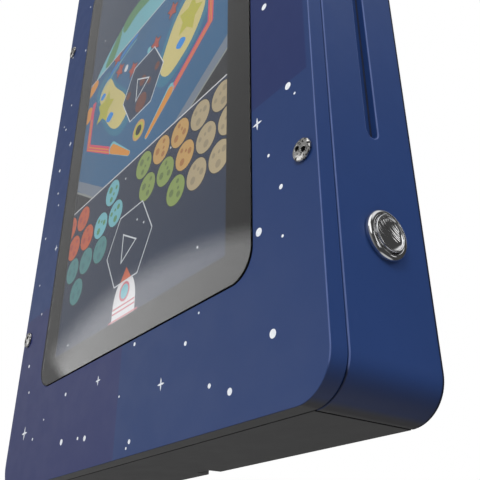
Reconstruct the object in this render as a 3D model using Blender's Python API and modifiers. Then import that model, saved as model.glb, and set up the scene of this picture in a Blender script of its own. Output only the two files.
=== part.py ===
"""A wall-hung touch-screen game machine.

A shallow casing holds a portrait display behind a touch glass, with one chrome push button on
each side and four security screws through the front cover.

Frame: metres, +Z up, the front faces -Y, and the origin is the centre of the face that meets the
wall. Left and right are as a player sees them, so the right side is at +X.
"""
import math

import bmesh
import bpy
from mathutils import Euler, Matrix, Vector

MM = 0.001
GAP = 0.3 * MM  # between two pieces that touch

# Casing
WIDTH = 450 * MM
HEIGHT = 700 * MM
DEPTH = 90 * MM
CORNER = 27 * MM
COVER = 12.5 * MM  # thickness of the front cover
WALL = 9 * MM
LAP_DEPTH = 6 * MM  # where the top and bottom panels lie on the side panels' tongues
LAP = 20 * MM
BACK = 2.5 * MM  # thickness of the back panel
CORNER_STEPS = 8

# Side grooves
GROOVE_LENGTH = 350 * MM
GROOVE_WIDTH = 11 * MM
GROOVE_DEPTH = 6 * MM
SIDE_AXIS_Y = -DEPTH + 51 * MM  # the groove and the button share this depth

# Display
GLASS_WIDTH = 327 * MM
GLASS_HEIGHT = 527 * MM
GLASS_CORNER = 21 * MM
GLASS_THICK = 3 * MM
GLASS_PROUD = 1 * MM
GASKET_THICK = 1 * MM
GASKET_BAND = 10 * MM
WINDOW_WIDTH = 300 * MM  # opening through the cover
WINDOW_HEIGHT = 502 * MM
LCD_WIDTH = 292 * MM
LCD_HEIGHT = 496 * MM
LCD_THICK = 11 * MM

# Fasteners
COVER_SCREW_X = WIDTH / 2 - 12 * MM
COVER_SCREW_Z = 200 * MM
SCREW_HEAD_RADIUS = 7.8 * MM
SCREW_HEAD_HEIGHT = 2.8 * MM
SCREW_SHANK_RADIUS = 2.4 * MM
SCREW_SHANK_LENGTH = 30 * MM
POST_HEIGHT = 12 * MM
POST_INNER_X = COVER_SCREW_X - 14 * MM
POST_OUTER_X = COVER_SCREW_X + 6 * MM
BACK_SCREW_X = COVER_SCREW_X - 8 * MM
SMALL_HOLE_RADIUS = 2.1 * MM  # for the back screws and the strap screws

# Cable outlet and connector bay
NOTCH_WIDTH = 16 * MM
NOTCH_DEPTH = 12 * MM
BAY_WIDTH = 120 * MM
BAY_TOP_Z = -250 * MM
BAY_DEPTH = 45 * MM
SHEET = 1.5 * MM

# Push buttons, measured outwards from the side face
BUTTON_Z = -HEIGHT / 2 + 103 * MM
BEZEL_RADIUS = 16.5 * MM
CAP_RADIUS = 12.2 * MM
BARREL_RADIUS = 13.8 * MM
BORE_RADIUS = 12.5 * MM
BARREL_END = -30 * MM
SHELF = 3 * MM
STEM_RADIUS = 4 * MM
STEM_END = -33 * MM
CAP_SKIRT = -6 * MM
NUT_THICK = 5 * MM
SWITCH_FACE = -36.3 * MM
SWITCH_LENGTH = 16 * MM
SWITCH_WIDTH = 10.2 * MM
SWITCH_HEIGHT = 20 * MM

# Wall mount
VESA_HALF = 50 * MM
VESA_HOLE_RADIUS = 2.5 * MM

SEAM_Y = -DEPTH + COVER
SIDES = {"left": -1, "right": 1}
ENDS = {"lower": -1, "upper": 1}


def clear_scene():
    for item in list(bpy.data.objects):
        bpy.data.objects.remove(item, do_unlink=True)


def new_collection(name):
    collection = bpy.data.collections.new(name)
    bpy.context.scene.collection.children.link(collection)
    return collection


clear_scene()
PARTS = new_collection("wall_game_machine")
CUTTERS = new_collection("cutters")


def paint(name, colour, roughness, metallic=0.0):
    """A Principled material with one base colour."""
    material = bpy.data.materials.new(name)
    material.use_nodes = True
    shader = material.node_tree.nodes["Principled BSDF"]
    shader.inputs["Base Color"].default_value = (*colour, 1.0)
    shader.inputs["Roughness"].default_value = roughness
    shader.inputs["Metallic"].default_value = metallic
    return material


BLUE = ((0.033, 0.057, 0.160), 0.45)
CHARCOAL = ((0.055, 0.055, 0.055), 0.60)
CHROME = ((0.80, 0.80, 0.80), 0.08, 1.0)
STEEL = ((0.45, 0.46, 0.47), 0.35, 1.0)
GLASS = ((0.02, 0.02, 0.025), 0.05)
RUBBER = ((0.015, 0.015, 0.015), 0.80)
BLACK_PLASTIC = ((0.02, 0.02, 0.02), 0.50)
CIRCUIT = ((0.01, 0.10, 0.04), 0.50)
ALUMINIUM = ((0.60, 0.61, 0.62), 0.30, 1.0)


def finish(item, name, look):
    """Names a part, gives it its own material and puts it in the parts collection."""
    item.name = name
    item.data.name = name
    item.data.materials.clear()
    item.data.materials.append(paint(name, *look))
    for collection in list(item.users_collection):
        collection.objects.unlink(item)
    PARTS.objects.link(item)
    return item


def as_tool(item, name):
    """Puts a cutter or an added solid in the cutters collection, left out of renders."""
    item.name = name
    item.hide_render = True
    item.display_type = "WIRE"
    for collection in list(item.users_collection):
        collection.objects.unlink(item)
    CUTTERS.objects.link(item)
    return item


def combine(item, tool, operation):
    as_tool(tool, f"{item.name}_{operation.lower()}_{len(item.modifiers)}")
    modifier = item.modifiers.new(operation.title(), "BOOLEAN")
    modifier.operation = operation
    modifier.object = tool
    modifier.solver = "EXACT"


def cut(item, *tools):
    for tool in tools:
        combine(item, tool, "DIFFERENCE")


def join(item, *tools):
    for tool in tools:
        combine(item, tool, "UNION")


def object_from(mesh_builder, name="solid"):
    mesh = bpy.data.meshes.new(name)
    mesh_builder.to_mesh(mesh)
    mesh_builder.free()
    item = bpy.data.objects.new(name, mesh)
    bpy.context.scene.collection.objects.link(item)
    return item


def box(low, high, round_axis=None, radius=0.0, edge=0.0):
    """A block between two corners. Its edges along round_axis take the radius, the rest a small edge."""
    low, high = Vector(low), Vector(high)
    builder = bmesh.new()
    bmesh.ops.create_cube(builder, size=1.0, matrix=Matrix.Diagonal((*(high - low), 1.0)))
    if radius:
        axis = "XYZ".index(round_axis)
        along = [e for e in builder.edges if abs((e.verts[0].co - e.verts[1].co)[axis]) > MM / 10]
        bmesh.ops.bevel(
            builder, geom=along, offset=radius, segments=CORNER_STEPS, profile=0.5, affect="EDGES"
        )
    if edge:
        sharp = [e for e in builder.edges if e.calc_face_angle() > math.radians(60)]
        bmesh.ops.bevel(builder, geom=sharp, offset=edge, segments=1, profile=0.5, affect="EDGES")
    item = object_from(builder)
    item.location = (low + high) / 2
    return item


def centred_box(centre, size, **options):
    half = Vector(size) / 2
    return box(Vector(centre) - half, Vector(centre) + half, **options)


AXIS_TURNS = {
    "X": Euler((0, math.pi / 2, 0)),
    "-X": Euler((0, -math.pi / 2, 0)),
    "Y": Euler((-math.pi / 2, 0, 0)),
    "-Y": Euler((math.pi / 2, 0, 0)),
}


def rod(centre, axis, radius, length, end_radius=None, sides=16):
    """A cylinder or cone about its centre, with end_radius at the end that axis points to."""
    builder = bmesh.new()
    top = radius if end_radius is None else end_radius
    bmesh.ops.create_cone(
        builder, cap_ends=True, segments=sides, radius1=radius, radius2=top, depth=length
    )
    item = object_from(builder)
    item.location = centre
    item.rotation_euler = AXIS_TURNS[axis]
    return item


def turned(profile, steps=24):
    """A profile of (radius, height) points, turned about Z. A loop that is clear of the axis is closed."""
    builder = bmesh.new()
    points = [builder.verts.new((radius, 0, height)) for radius, height in profile]
    for start, end in zip(points, points[1:]):
        builder.edges.new((start, end))
    if profile[0][0] > 0:
        builder.edges.new((points[-1], points[0]))
    item = object_from(builder)
    screw = item.modifiers.new("Screw", "SCREW")
    screw.steps = steps
    screw.render_steps = steps
    screw.use_merge_vertices = True
    screw.merge_threshold = 0.00001
    item.data.shade_smooth()
    return item


def face_along(item, centre, axis):
    item.location = centre
    item.rotation_euler = AXIS_TURNS[axis]
    return item


def arc(centre_x, centre_y, radius, start, end, steps=CORNER_STEPS):
    """Points of an arc in degrees, with both ends."""
    turns = [math.radians(start + (end - start) * i / steps) for i in range(steps + 1)]
    return [(centre_x + radius * math.cos(t), centre_y + radius * math.sin(t)) for t in turns]


OUTLINE_PLANES = {  # how a flat outline turns into each plane, and the axis it is thickened along
    "XY": (Euler((0, 0, 0)), 2),
    "XZ": (Euler((math.pi / 2, 0, 0)), 1),
    "YZ": (Euler((math.pi / 2, 0, math.pi / 2)), 0),
}


def curve_to_mesh(curve_item):
    """Swaps a curve for its mesh, with the caps welded on."""
    bpy.context.view_layer.update()
    graph = bpy.context.evaluated_depsgraph_get()
    mesh = bpy.data.meshes.new_from_object(curve_item.evaluated_get(graph))
    builder = bmesh.new()
    builder.from_mesh(mesh)
    bmesh.ops.remove_doubles(builder, verts=builder.verts, dist=0.00001)
    builder.to_mesh(mesh)
    builder.free()
    item = bpy.data.objects.new("outline", mesh)
    item.matrix_world = curve_item.matrix_world
    bpy.context.scene.collection.objects.link(item)
    bpy.data.objects.remove(curve_item, do_unlink=True)
    return item


def curve_object(dimensions):
    data = bpy.data.curves.new("curve", "CURVE")
    data.dimensions = dimensions
    item = bpy.data.objects.new("curve", data)
    bpy.context.scene.collection.objects.link(item)
    return item


def extruded(outline, plane, low, high):
    """A flat outline in one plane, given thickness from low to high along the plane's third axis."""
    turn, axis = OUTLINE_PLANES[plane]
    item = curve_object("2D")
    item.data.fill_mode = "BOTH"
    item.data.extrude = (high - low) / 2
    spline = item.data.splines.new("POLY")
    spline.points.add(len(outline) - 1)
    for point, (x, y) in zip(spline.points, outline):
        point.co = (x, y, 0, 1)
    spline.use_cyclic_u = True
    item.rotation_euler = turn
    item.location[axis] = (low + high) / 2
    return curve_to_mesh(item)


def tube(points, radius):
    """A round wire through the points, with closed ends."""
    item = curve_object("3D")
    item.data.bevel_depth = radius
    item.data.bevel_resolution = 2
    item.data.use_fill_caps = True
    spline = item.data.splines.new("POLY")
    spline.points.add(len(points) - 1)
    for point, place in zip(spline.points, points):
        point.co = (*place, 1)
    return item


def smooth_route(stops, steps=4):
    """Points along a smooth curve through the stops, whose slope at a stop follows its neighbours."""
    stops = [Vector(stop) for stop in stops]
    spans = [(end - start).length for start, end in zip(stops, stops[1:])]
    slopes = [(stops[1] - stops[0]) / spans[0]]
    for i in range(1, len(spans)):
        slopes.append((stops[i + 1] - stops[i - 1]) / (spans[i - 1] + spans[i]))
    slopes.append((stops[-1] - stops[-2]) / spans[-1])
    route = []
    for i, span in enumerate(spans):
        for step in range(steps):
            t = step / steps
            route.append(
                stops[i] * (1 + 2 * t) * (1 - t) ** 2
                + stops[i + 1] * t**2 * (3 - 2 * t)
                + span * slopes[i] * t * (1 - t) ** 2
                + span * slopes[i + 1] * t**2 * (t - 1)
            )
    return [*route, stops[-1]]


def wire(name, stops, radius=1.5 * MM):
    stops = [[value * MM for value in stop] for stop in stops]
    finish(tube(smooth_route(stops), radius), name, RUBBER)


# ---------------------------------------------------------------- casing

CORNER_X = WIDTH / 2 - CORNER  # centre of the rounded corners, and the joint with the flat panels
CORNER_Z = HEIGHT / 2 - CORNER
CASING_FRONT = SEAM_Y + GAP / 2
INNER_X = WIDTH / 2 - WALL
INNER_Z = HEIGHT / 2 - WALL
TONGUE_END = CORNER_X - LAP


def side_outline(sign):
    """Outer face, two rounded corners, and a tongue at each end for the flat panel to lie on."""
    tongue_face = HEIGHT / 2 - LAP_DEPTH - GAP
    outline = [
        *arc(CORNER_X, -CORNER_Z, CORNER, -90, 0),
        *arc(CORNER_X, CORNER_Z, CORNER, 0, 90),
        (CORNER_X, tongue_face),
        (TONGUE_END, tongue_face),
        (TONGUE_END, INNER_Z),
        *arc(CORNER_X, CORNER_Z, CORNER - WALL, 90, 0),
        *arc(CORNER_X, -CORNER_Z, CORNER - WALL, 0, -90),
        (TONGUE_END, -INNER_Z),
        (TONGUE_END, -tongue_face),
        (CORNER_X, -tongue_face),
    ]
    return outline if sign > 0 else [(-x, z) for x, z in reversed(outline)]


def groove_cutter(sign):
    reach = (GROOVE_LENGTH - GROOVE_WIDTH) / 2
    outline = [
        *arc(SIDE_AXIS_Y, reach, GROOVE_WIDTH / 2, 0, 180),
        *arc(SIDE_AXIS_Y, -reach, GROOVE_WIDTH / 2, 180, 360),
    ]
    floor = sign * (WIDTH / 2 - GROOVE_DEPTH)
    outside = sign * (WIDTH / 2 + GROOVE_DEPTH)
    return extruded(outline, "YZ", min(floor, outside), max(floor, outside))


def make_side_panels():
    for side, sign in SIDES.items():
        panel = extruded(side_outline(sign), "XZ", CASING_FRONT, 0)
        hole_centre = (sign * (WIDTH / 2 - WALL / 2), SIDE_AXIS_Y, BUTTON_Z)
        cut(panel, groove_cutter(sign), rod(hole_centre, "X", BARREL_RADIUS + GAP, 2 * WALL, sides=32))
        for end in ENDS.values():
            middle_x = sign * (POST_OUTER_X + GAP + INNER_X - MM) / 2
            width = POST_OUTER_X + GAP - (INNER_X - MM)
            front, back = CASING_FRONT - MM, -BACK
            pocket = centred_box(
                (middle_x, (front + back) / 2, end * COVER_SCREW_Z),
                (width, back - front, POST_HEIGHT + 2 * GAP),
            )
            cut(panel, pocket)
        finish(panel, f"side_panel_{side}", BLUE)


def flat_panel_outline(end):
    """A panel that is thinner at both ends, where it lies on the side panels' tongues."""
    outer = HEIGHT / 2
    lap = outer - LAP_DEPTH
    edge = CORNER_X - GAP
    step = TONGUE_END - GAP
    outline = [
        (edge, outer),
        (-edge, outer),
        (-edge, lap),
        (-step, lap),
        (-step, INNER_Z),
        (step, INNER_Z),
        (step, lap),
        (edge, lap),
    ]
    return outline if end > 0 else [(x, -z) for x, z in reversed(outline)]


def make_end_panels():
    finish(extruded(flat_panel_outline(1), "XZ", CASING_FRONT, 0), "top_panel", CHARCOAL)
    bottom = extruded(flat_panel_outline(-1), "XZ", CASING_FRONT, 0)
    notch = centred_box(
        (0, 0, -HEIGHT / 2), (NOTCH_WIDTH, 2 * NOTCH_DEPTH, 3 * WALL), round_axis="Z", radius=3 * MM
    )
    cut(bottom, notch)
    finish(bottom, "bottom_panel", CHARCOAL)


def slots(centre_x, centre_z, count, pitch, height):
    """A row of upright vent slots, 3 mm wide, through the back panel."""
    builder = bmesh.new()
    size = Vector((3 * MM, 4 * BACK, height))
    for i in range(count):
        x = centre_x + (i - (count - 1) / 2) * pitch
        place = Matrix.Translation((x, 0, centre_z)) @ Matrix.Diagonal((*size, 1.0))
        bmesh.ops.create_cube(builder, size=1.0, matrix=place)
    return object_from(builder)


def make_back_panel():
    panel = box(
        (-INNER_X + GAP, -BACK, -INNER_Z + GAP),
        (INNER_X - GAP, 0, INNER_Z - GAP),
        round_axis="Y",
        radius=CORNER - WALL - GAP,
    )
    boss_length = 8 * MM
    for x in (-VESA_HALF, VESA_HALF):
        for z in (-VESA_HALF, VESA_HALF):
            join(panel, rod((x, -BACK - boss_length / 2 + MM / 2, z), "Y", 6 * MM, boss_length + MM))
    for x in (-VESA_HALF, VESA_HALF):
        for z in (-VESA_HALF, VESA_HALF):
            cut(panel, rod((x, 0, z), "Y", VESA_HOLE_RADIUS, 2 * boss_length))
    bay_half = BAY_WIDTH / 2 + SHEET + GAP
    bay_top = BAY_TOP_Z + SHEET + GAP
    cut(panel, box((-bay_half, -2 * BACK, -HEIGHT / 2), (bay_half, BACK, bay_top)))
    for x in (-BACK_SCREW_X, BACK_SCREW_X):
        for z in (-COVER_SCREW_Z, COVER_SCREW_Z):
            cut(panel, rod((x, 0, z), "Y", SMALL_HOLE_RADIUS, 4 * BACK))
            cut(panel, rod((x, -MM, z), "Y", SMALL_HOLE_RADIUS, 2.4 * MM, end_radius=4.5 * MM))
    cut(panel, slots(0, 250 * MM, 12, 8 * MM, 36 * MM))
    cut(panel, slots(-160 * MM, 145 * MM, 5, 8 * MM, 50 * MM))
    cut(panel, slots(160 * MM, 145 * MM, 5, 8 * MM, 50 * MM))
    cut(panel, slots(-125 * MM, -140 * MM, 7, 8 * MM, 60 * MM))
    finish(panel, "back_panel", CHARCOAL)


INLET_Y = -24 * MM


def make_connector_bay():
    """A sheet tray, open at the back and at the bottom, that holds the mains inlet."""
    half = BAY_WIDTH / 2
    floor = -INNER_Z + GAP
    bay = box((-half - SHEET, -BAY_DEPTH - SHEET, floor), (half + SHEET, 0, BAY_TOP_Z + SHEET))
    flange = 10 * MM
    flange_back = -BACK - GAP
    join(
        bay,
        box(
            (-half - SHEET - flange, flange_back - SHEET, floor),
            (half + SHEET + flange, flange_back, BAY_TOP_Z + SHEET + flange),
        ),
    )
    cut(bay, box((-half, -BAY_DEPTH, -HEIGHT / 2), (half, 4 * BACK, BAY_TOP_Z)))
    cut(bay, centred_box((0, INLET_Y, BAY_TOP_Z), (27.6 * MM, 20.2 * MM, 4 * SHEET)))
    finish(bay, "connector_bay", STEEL)


def make_power_inlet():
    """A three-pin mains inlet whose socket faces down into the bay."""
    face = BAY_TOP_Z - GAP
    rim = 2.5 * MM
    mouth = face - rim
    top = face + 22 * MM
    inlet = centred_box((0, INLET_Y, face - rim / 2), (31 * MM, 24 * MM, rim), edge=0.5 * MM)
    join(inlet, centred_box((0, INLET_Y, (top + mouth + MM) / 2), (27 * MM, 19.6 * MM, top - mouth - MM)))
    socket_depth = 17 * MM
    socket = (24 * MM, 16.4 * MM, 2 * socket_depth)
    cut(inlet, centred_box((0, INLET_Y, mouth), socket, round_axis="Z", radius=3 * MM))
    pin_length = 12 * MM
    pin_z = mouth + socket_depth - pin_length / 2 + MM / 4
    for x, y in ((-7, 2), (0, -2), (7, 2)):
        pin = centred_box((x * MM, INLET_Y + y * MM, pin_z), (2 * MM, 4 * MM, pin_length))
        tab = centred_box((x * MM, INLET_Y + y * MM, top + 3.5 * MM), (0.8 * MM, 4.8 * MM, 8 * MM))
        join(inlet, pin, tab)
    finish(inlet, "power_inlet", BLACK_PLASTIC)


# ---------------------------------------------------------------- front cover and display

GLASS_FRONT = -DEPTH - GLASS_PROUD
GLASS_BACK = GLASS_FRONT + GLASS_THICK
REBATE_FLOOR = GLASS_BACK + GASKET_THICK + 2 * GAP
LCD_FRONT = GLASS_BACK + GAP
LCD_BACK = LCD_FRONT + LCD_THICK
COVER_BACK = SEAM_Y - GAP / 2
STRAP_Z = 150 * MM
STRAP_SCREW_X = 168 * MM
STRAP_SCREW_PROFILE = [
    (0, 2.3 * MM),
    (2.6 * MM, 2 * MM),
    (3.5 * MM, GAP),
    (1.8 * MM, GAP),
    (1.8 * MM, -8 * MM),
    (0, -8 * MM),
]


def upright_plate(width, height, radius, front, back, edge=0.0):
    """A plate facing the player, with rounded corners."""
    return box(
        (-width / 2, front, -height / 2),
        (width / 2, back, height / 2),
        round_axis="Y",
        radius=radius,
        edge=edge,
    )


def make_front_cover():
    cover = upright_plate(WIDTH, HEIGHT, CORNER, -DEPTH, COVER_BACK, edge=0.8 * MM)
    around = 2 * GAP
    cut(
        cover,
        upright_plate(
            GLASS_WIDTH + around, GLASS_HEIGHT + around, GLASS_CORNER + GAP, -DEPTH - COVER, REBATE_FLOOR
        ),
        upright_plate(WINDOW_WIDTH, WINDOW_HEIGHT, 6 * MM, -DEPTH - COVER, 0),
    )
    for sign in SIDES.values():
        for end in ENDS.values():
            hole = (sign * COVER_SCREW_X, SEAM_Y, end * COVER_SCREW_Z)
            cut(cover, rod(hole, "Y", SCREW_SHANK_RADIUS + GAP, 4 * COVER))
            strap_hole = (sign * STRAP_SCREW_X, COVER_BACK, end * STRAP_Z)
            cut(cover, rod(strap_hole, "Y", SMALL_HOLE_RADIUS, 14 * MM))
    finish(cover, "front_cover", BLUE)


def make_display():
    glass = upright_plate(GLASS_WIDTH, GLASS_HEIGHT, GLASS_CORNER, GLASS_FRONT, GLASS_BACK, edge=0.4 * MM)
    finish(glass, "touch_glass", GLASS)

    gasket_front = GLASS_BACK + GAP
    gasket_width, gasket_height = GLASS_WIDTH - 2 * MM, GLASS_HEIGHT - 2 * MM
    gasket_back = gasket_front + GASKET_THICK
    gasket = upright_plate(gasket_width, gasket_height, 20 * MM, gasket_front, gasket_back)
    inside = upright_plate(
        gasket_width - 2 * GASKET_BAND, gasket_height - 2 * GASKET_BAND, 10 * MM, -DEPTH - COVER, 0
    )
    cut(gasket, inside)
    finish(gasket, "glass_gasket", RUBBER)

    panel = upright_plate(LCD_WIDTH, LCD_HEIGHT, 1.5 * MM, LCD_FRONT, LCD_BACK)
    shield = box((-60 * MM, LCD_BACK - MM, -120 * MM), (136 * MM, LCD_BACK + 3 * MM, -70 * MM))
    join(panel, shield)
    finish(panel, "lcd_panel", STEEL)


def make_straps():
    """Two steel straps across the back of the display, each with a foot on the cover at both ends."""
    sheet = 2 * MM
    foot_front = COVER_BACK + GAP
    bar_front = LCD_BACK + GAP
    bar_end, foot_start, foot_end = 157 * MM, 153 * MM, 182 * MM
    half = [
        (foot_start, bar_front),
        (foot_start, foot_front),
        (foot_end, foot_front),
        (foot_end, foot_front + sheet),
        (bar_end, foot_front + sheet),
        (bar_end, bar_front + sheet),
    ]
    outline = half + [(-x, y) for x, y in reversed(half)]
    for name, end in ENDS.items():
        middle = end * STRAP_Z
        strap = extruded(outline, "XY", middle - 10 * MM, middle + 10 * MM)
        for side, sign in SIDES.items():
            seat = (sign * STRAP_SCREW_X, foot_front + sheet, middle)
            cut(strap, rod(seat, "Y", SMALL_HOLE_RADIUS, 4 * sheet))
            screw = face_along(turned(STRAP_SCREW_PROFILE, 12), seat, "Y")
            finish(screw, f"strap_screw_{name}_{side}", STEEL)
        finish(strap, f"lcd_strap_{name}", STEEL)


# ---------------------------------------------------------------- fasteners


def make_cover_screws():
    """Dome-headed security screws, driven by two round holes in the head."""
    dome = [(0, 0), (3.0, 0.1), (5.4, 0.35), (7.1, 0.8), (7.8, 1.4)]
    profile = [
        *[(radius * MM, SCREW_HEAD_HEIGHT - drop * MM) for radius, drop in dome],
        (SCREW_HEAD_RADIUS, GAP),
        (SCREW_SHANK_RADIUS, GAP),
        (SCREW_SHANK_RADIUS, -SCREW_SHANK_LENGTH + MM),
        (SCREW_SHANK_RADIUS - 0.8 * MM, -SCREW_SHANK_LENGTH),
        (0, -SCREW_SHANK_LENGTH),
    ]
    hole_turns = {"lower_left": 35, "lower_right": 150, "upper_left": 80, "upper_right": 120}
    for end_name, end in ENDS.items():
        for side, sign in SIDES.items():
            name = f"{end_name}_{side}"
            seat = Vector((sign * COVER_SCREW_X, -DEPTH, end * COVER_SCREW_Z))
            screw = face_along(turned(profile), seat, "-Y")
            turn = math.radians(hole_turns[name])
            across = Vector((math.cos(turn), 0, math.sin(turn))) * 3.1 * MM
            top = seat - Vector((0, SCREW_HEAD_HEIGHT, 0))
            for offset in (across, -across):
                cut(screw, rod(top + offset, "Y", 1.9 * MM, 4.4 * MM, sides=12))
            finish(screw, f"cover_screw_{name}", CHROME)


def make_posts():
    """Steel posts against the side panels. The cover screws and the back screws run into their ends."""
    front, back = CASING_FRONT, -BACK - GAP
    for end_name, end in ENDS.items():
        for side, sign in SIDES.items():
            centre_x = sign * (POST_INNER_X + POST_OUTER_X) / 2
            z = end * COVER_SCREW_Z
            size = (POST_OUTER_X - POST_INNER_X, back - front, POST_HEIGHT)
            post = centred_box((centre_x, (front + back) / 2, z), size)
            cut(post, rod((sign * COVER_SCREW_X, front, z), "Y", SCREW_SHANK_RADIUS + GAP, 48 * MM))
            cut(post, rod((sign * BACK_SCREW_X, back, z), "Y", SMALL_HOLE_RADIUS, 28 * MM))
            finish(post, f"post_{end_name}_{side}", STEEL)


def make_back_screws():
    """Flush screws in the back panel's countersinks."""
    head = 0.1 * MM
    neck = 1.8 * MM
    end_z = -12 * MM
    profile = [(0, -head), (4 * MM, -head), (neck, -2.3 * MM), (neck, end_z), (0, end_z)]
    for end_name, end in ENDS.items():
        for side, sign in SIDES.items():
            seat = (sign * BACK_SCREW_X, 0, end * COVER_SCREW_Z)
            screw = face_along(turned(profile, 16), seat, "Y")
            cut(screw, rod(seat, "Y", 1.4 * MM, 3.2 * MM, sides=6))
            finish(screw, f"back_screw_{end_name}_{side}", STEEL)


# ---------------------------------------------------------------- electronics

BOARD_BACK = -BACK - GAP - 6 * MM
BOARD_FRONT = BOARD_BACK - 1.6 * MM


def circuit_board(name, x_range, z_range, components, standoff_inset=6 * MM):
    """A board on four standoffs. Each component is (x, z, width, height, rise) in millimetres."""
    (x_low, x_high), (z_low, z_high) = x_range, z_range
    board = box((x_low, BOARD_FRONT, z_low), (x_high, BOARD_BACK, z_high))
    foot = -BACK - GAP
    for x in (x_low + standoff_inset, x_high - standoff_inset):
        for z in (z_low + standoff_inset, z_high - standoff_inset):
            length = foot - BOARD_BACK + MM
            join(board, rod((x, foot - length / 2, z), "Y", 3 * MM, length, sides=12))
    for x, z, width, height, rise in components:
        size = (width * MM, (rise + 1) * MM, height * MM)
        join(board, centred_box((x * MM, BOARD_FRONT - (rise - 1) * MM / 2, z * MM), size))
    finish(board, name, CIRCUIT)


def make_boards():
    wire_plugs = [(-60, 101, 14, 12, 10), (-30, 101, 14, 12, 10), (30, 101, 14, 12, 10)]
    speaker_plugs = [(-80, 150, 10, 12, 8), (80, 150, 10, 12, 8)]
    processor = (0, 165, 42, 42, 3)
    memory = [(-58, 190, 30, 12, 3), (-58, 172, 30, 12, 3)]
    chokes = [(50, 190, 12, 12, 8), (50, 172, 12, 12, 8), (50, 130, 16, 8, 5)]
    circuit_board(
        "main_board",
        (-85 * MM, 85 * MM),
        (95 * MM, 215 * MM),
        [processor, *wire_plugs, *speaker_plugs, *memory, *chokes],
    )
    circuit_board(
        "display_board",
        (85 * MM, 165 * MM),
        (-150 * MM, -90 * MM),
        [(115, -120, 34, 8, 4), (148, -105, 14, 14, 3), (148, -134, 10, 10, 6)],
    )


def make_heat_sink():
    """A finned heat sink that stands on the processor."""
    base_back = BOARD_FRONT - 3 * MM - GAP
    base_front = base_back - 3 * MM
    tip = base_front - 16 * MM
    half = 38 * MM
    fins = 9
    fin = 2 * MM
    pitch = (2 * half - fin) / (fins - 1)
    comb = [(-half, base_back)]
    for i in range(fins):
        left = -half + i * pitch
        comb += [(left, base_front), (left, tip), (left + fin, tip), (left + fin, base_front)]
    comb.append((half, base_back))
    outline = [comb[0], *comb[2:-2], comb[-1]]
    finish(extruded(outline, "XY", 125 * MM, 203 * MM), "heat_sink", ALUMINIUM)


def make_power_supply():
    supply = box((-165 * MM, -41 * MM, -200 * MM), (-90 * MM, -BACK - GAP, -80 * MM), edge=1.5 * MM)
    for i in range(6):
        x = (-127.5 + (i - 2.5) * 9) * MM
        cut(supply, centred_box((x, -41 * MM, -140 * MM), (3 * MM, 4 * MM, 70 * MM)))
    finish(supply, "power_supply", STEEL)


def make_speakers():
    """Boxed loudspeakers that face the slots in the back panel."""
    back = -BACK - GAP
    for side, sign in SIDES.items():
        x = sign * 160 * MM
        case = centred_box((x, back - 15 * MM, 145 * MM), (60 * MM, 30 * MM, 110 * MM), edge=2 * MM)
        cut(case, rod((x, back - 4 * MM, 145 * MM), "Y", 10 * MM, 10 * MM, end_radius=24 * MM, sides=24))
        join(case, rod((x, back - 8 * MM, 145 * MM), "Y", 9 * MM, 6 * MM, end_radius=4 * MM))
        finish(case, f"speaker_{side}", BLACK_PLASTIC)


def make_wiring():
    switch_end = WIDTH / 2 / MM - 58.5
    button_z = BUTTON_Z / MM
    axis_y = SIDE_AXIS_Y / MM
    for side, sign in SIDES.items():
        button_route = [
            (sign * switch_end, axis_y, button_z),
            (sign * 160, axis_y, button_z),
            (sign * 128, -50, -196),
            (sign * 84, -52, -110),
            (sign * 48, -46, 0),
            (sign * 31, -20, 72),
            (sign * 30, -16, 88),
            (sign * 30, -16, 94.6),
        ]
        wire(f"button_wire_{side}", button_route)
        speaker_route = [
            (sign * 129.6, -18, 150),
            (sign * 120, -18, 149),
            (sign * 104, -21, 144),
            (sign * 92, -14.4, 150),
            (sign * 85.4, -14.4, 150),
        ]
        wire(f"speaker_wire_{side}", speaker_route)
    mains_route = [
        (0, INLET_Y / MM - 2, -220),
        (-1, INLET_Y / MM - 2, -214),
        (-12, INLET_Y / MM - 2, -207),
        (-50, -25, -206),
        (-105, -22, -214),
        (-125, -20, -211),
        (-127, -20, -206),
        (-127, -20, -200.5),
    ]
    wire("mains_wire", mains_route, 2.5 * MM)
    supply_route = [
        (-110, -20, -79.5),
        (-110, -20, -70),
        (-103, -27, -20),
        (-74, -26, 50),
        (-60, -16, 86),
        (-60, -16, 94.6),
    ]
    wire("supply_wire", supply_route, 2 * MM)

    centre = [(-15, -122), (-30, -120), (-48, -112), (-62, -100), (LCD_BACK / MM + 3.3, -96)]
    upper = [(y * MM, (z + 0.3) * MM) for y, z in centre]
    lower = [(y * MM, (z - 0.3) * MM) for y, z in reversed(centre)]
    finish(extruded(upper + lower, "YZ", 100 * MM, 130 * MM), "display_ribbon", BLACK_PLASTIC)


# ---------------------------------------------------------------- push buttons


def out_from_side(sign, distance):
    return sign * (WIDTH / 2 + distance)


def side_block(sign, low, high, width, height, y=SIDE_AXIS_Y, z=BUTTON_Z, **options):
    """A block between two distances from the side face, centred on the button's axis unless told."""
    centre_x = out_from_side(sign, (low + high) / 2)
    return centred_box((centre_x, y, z), (high - low, width, height), **options)


def on_button_axis(sign, item):
    """Lays a turned piece along the button's axis: its height 0 is the side face, and up is outwards."""
    return face_along(item, (out_from_side(sign, 0), SIDE_AXIS_Y, BUTTON_Z), "X" if sign > 0 else "-X")


def bezel_profile():
    """A flange with a rounded edge, and a barrel with a shelf at its end that the spring stands on."""
    flange = [(12.5, 3.4), (12.9, 4.0), (13.6, 4.3), (14.7, 4.1), (15.8, 3.2), (16.5, 1.7)]
    seat = GAP
    shelf = BARREL_END + SHELF
    return [
        *[(radius * MM, height * MM) for radius, height in flange],
        (BEZEL_RADIUS, seat),
        (BARREL_RADIUS, seat),
        (BARREL_RADIUS, BARREL_END),
        (STEM_RADIUS + 0.4 * MM, BARREL_END),
        (STEM_RADIUS + 0.4 * MM, shelf),
        (BORE_RADIUS, shelf),
    ]


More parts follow.
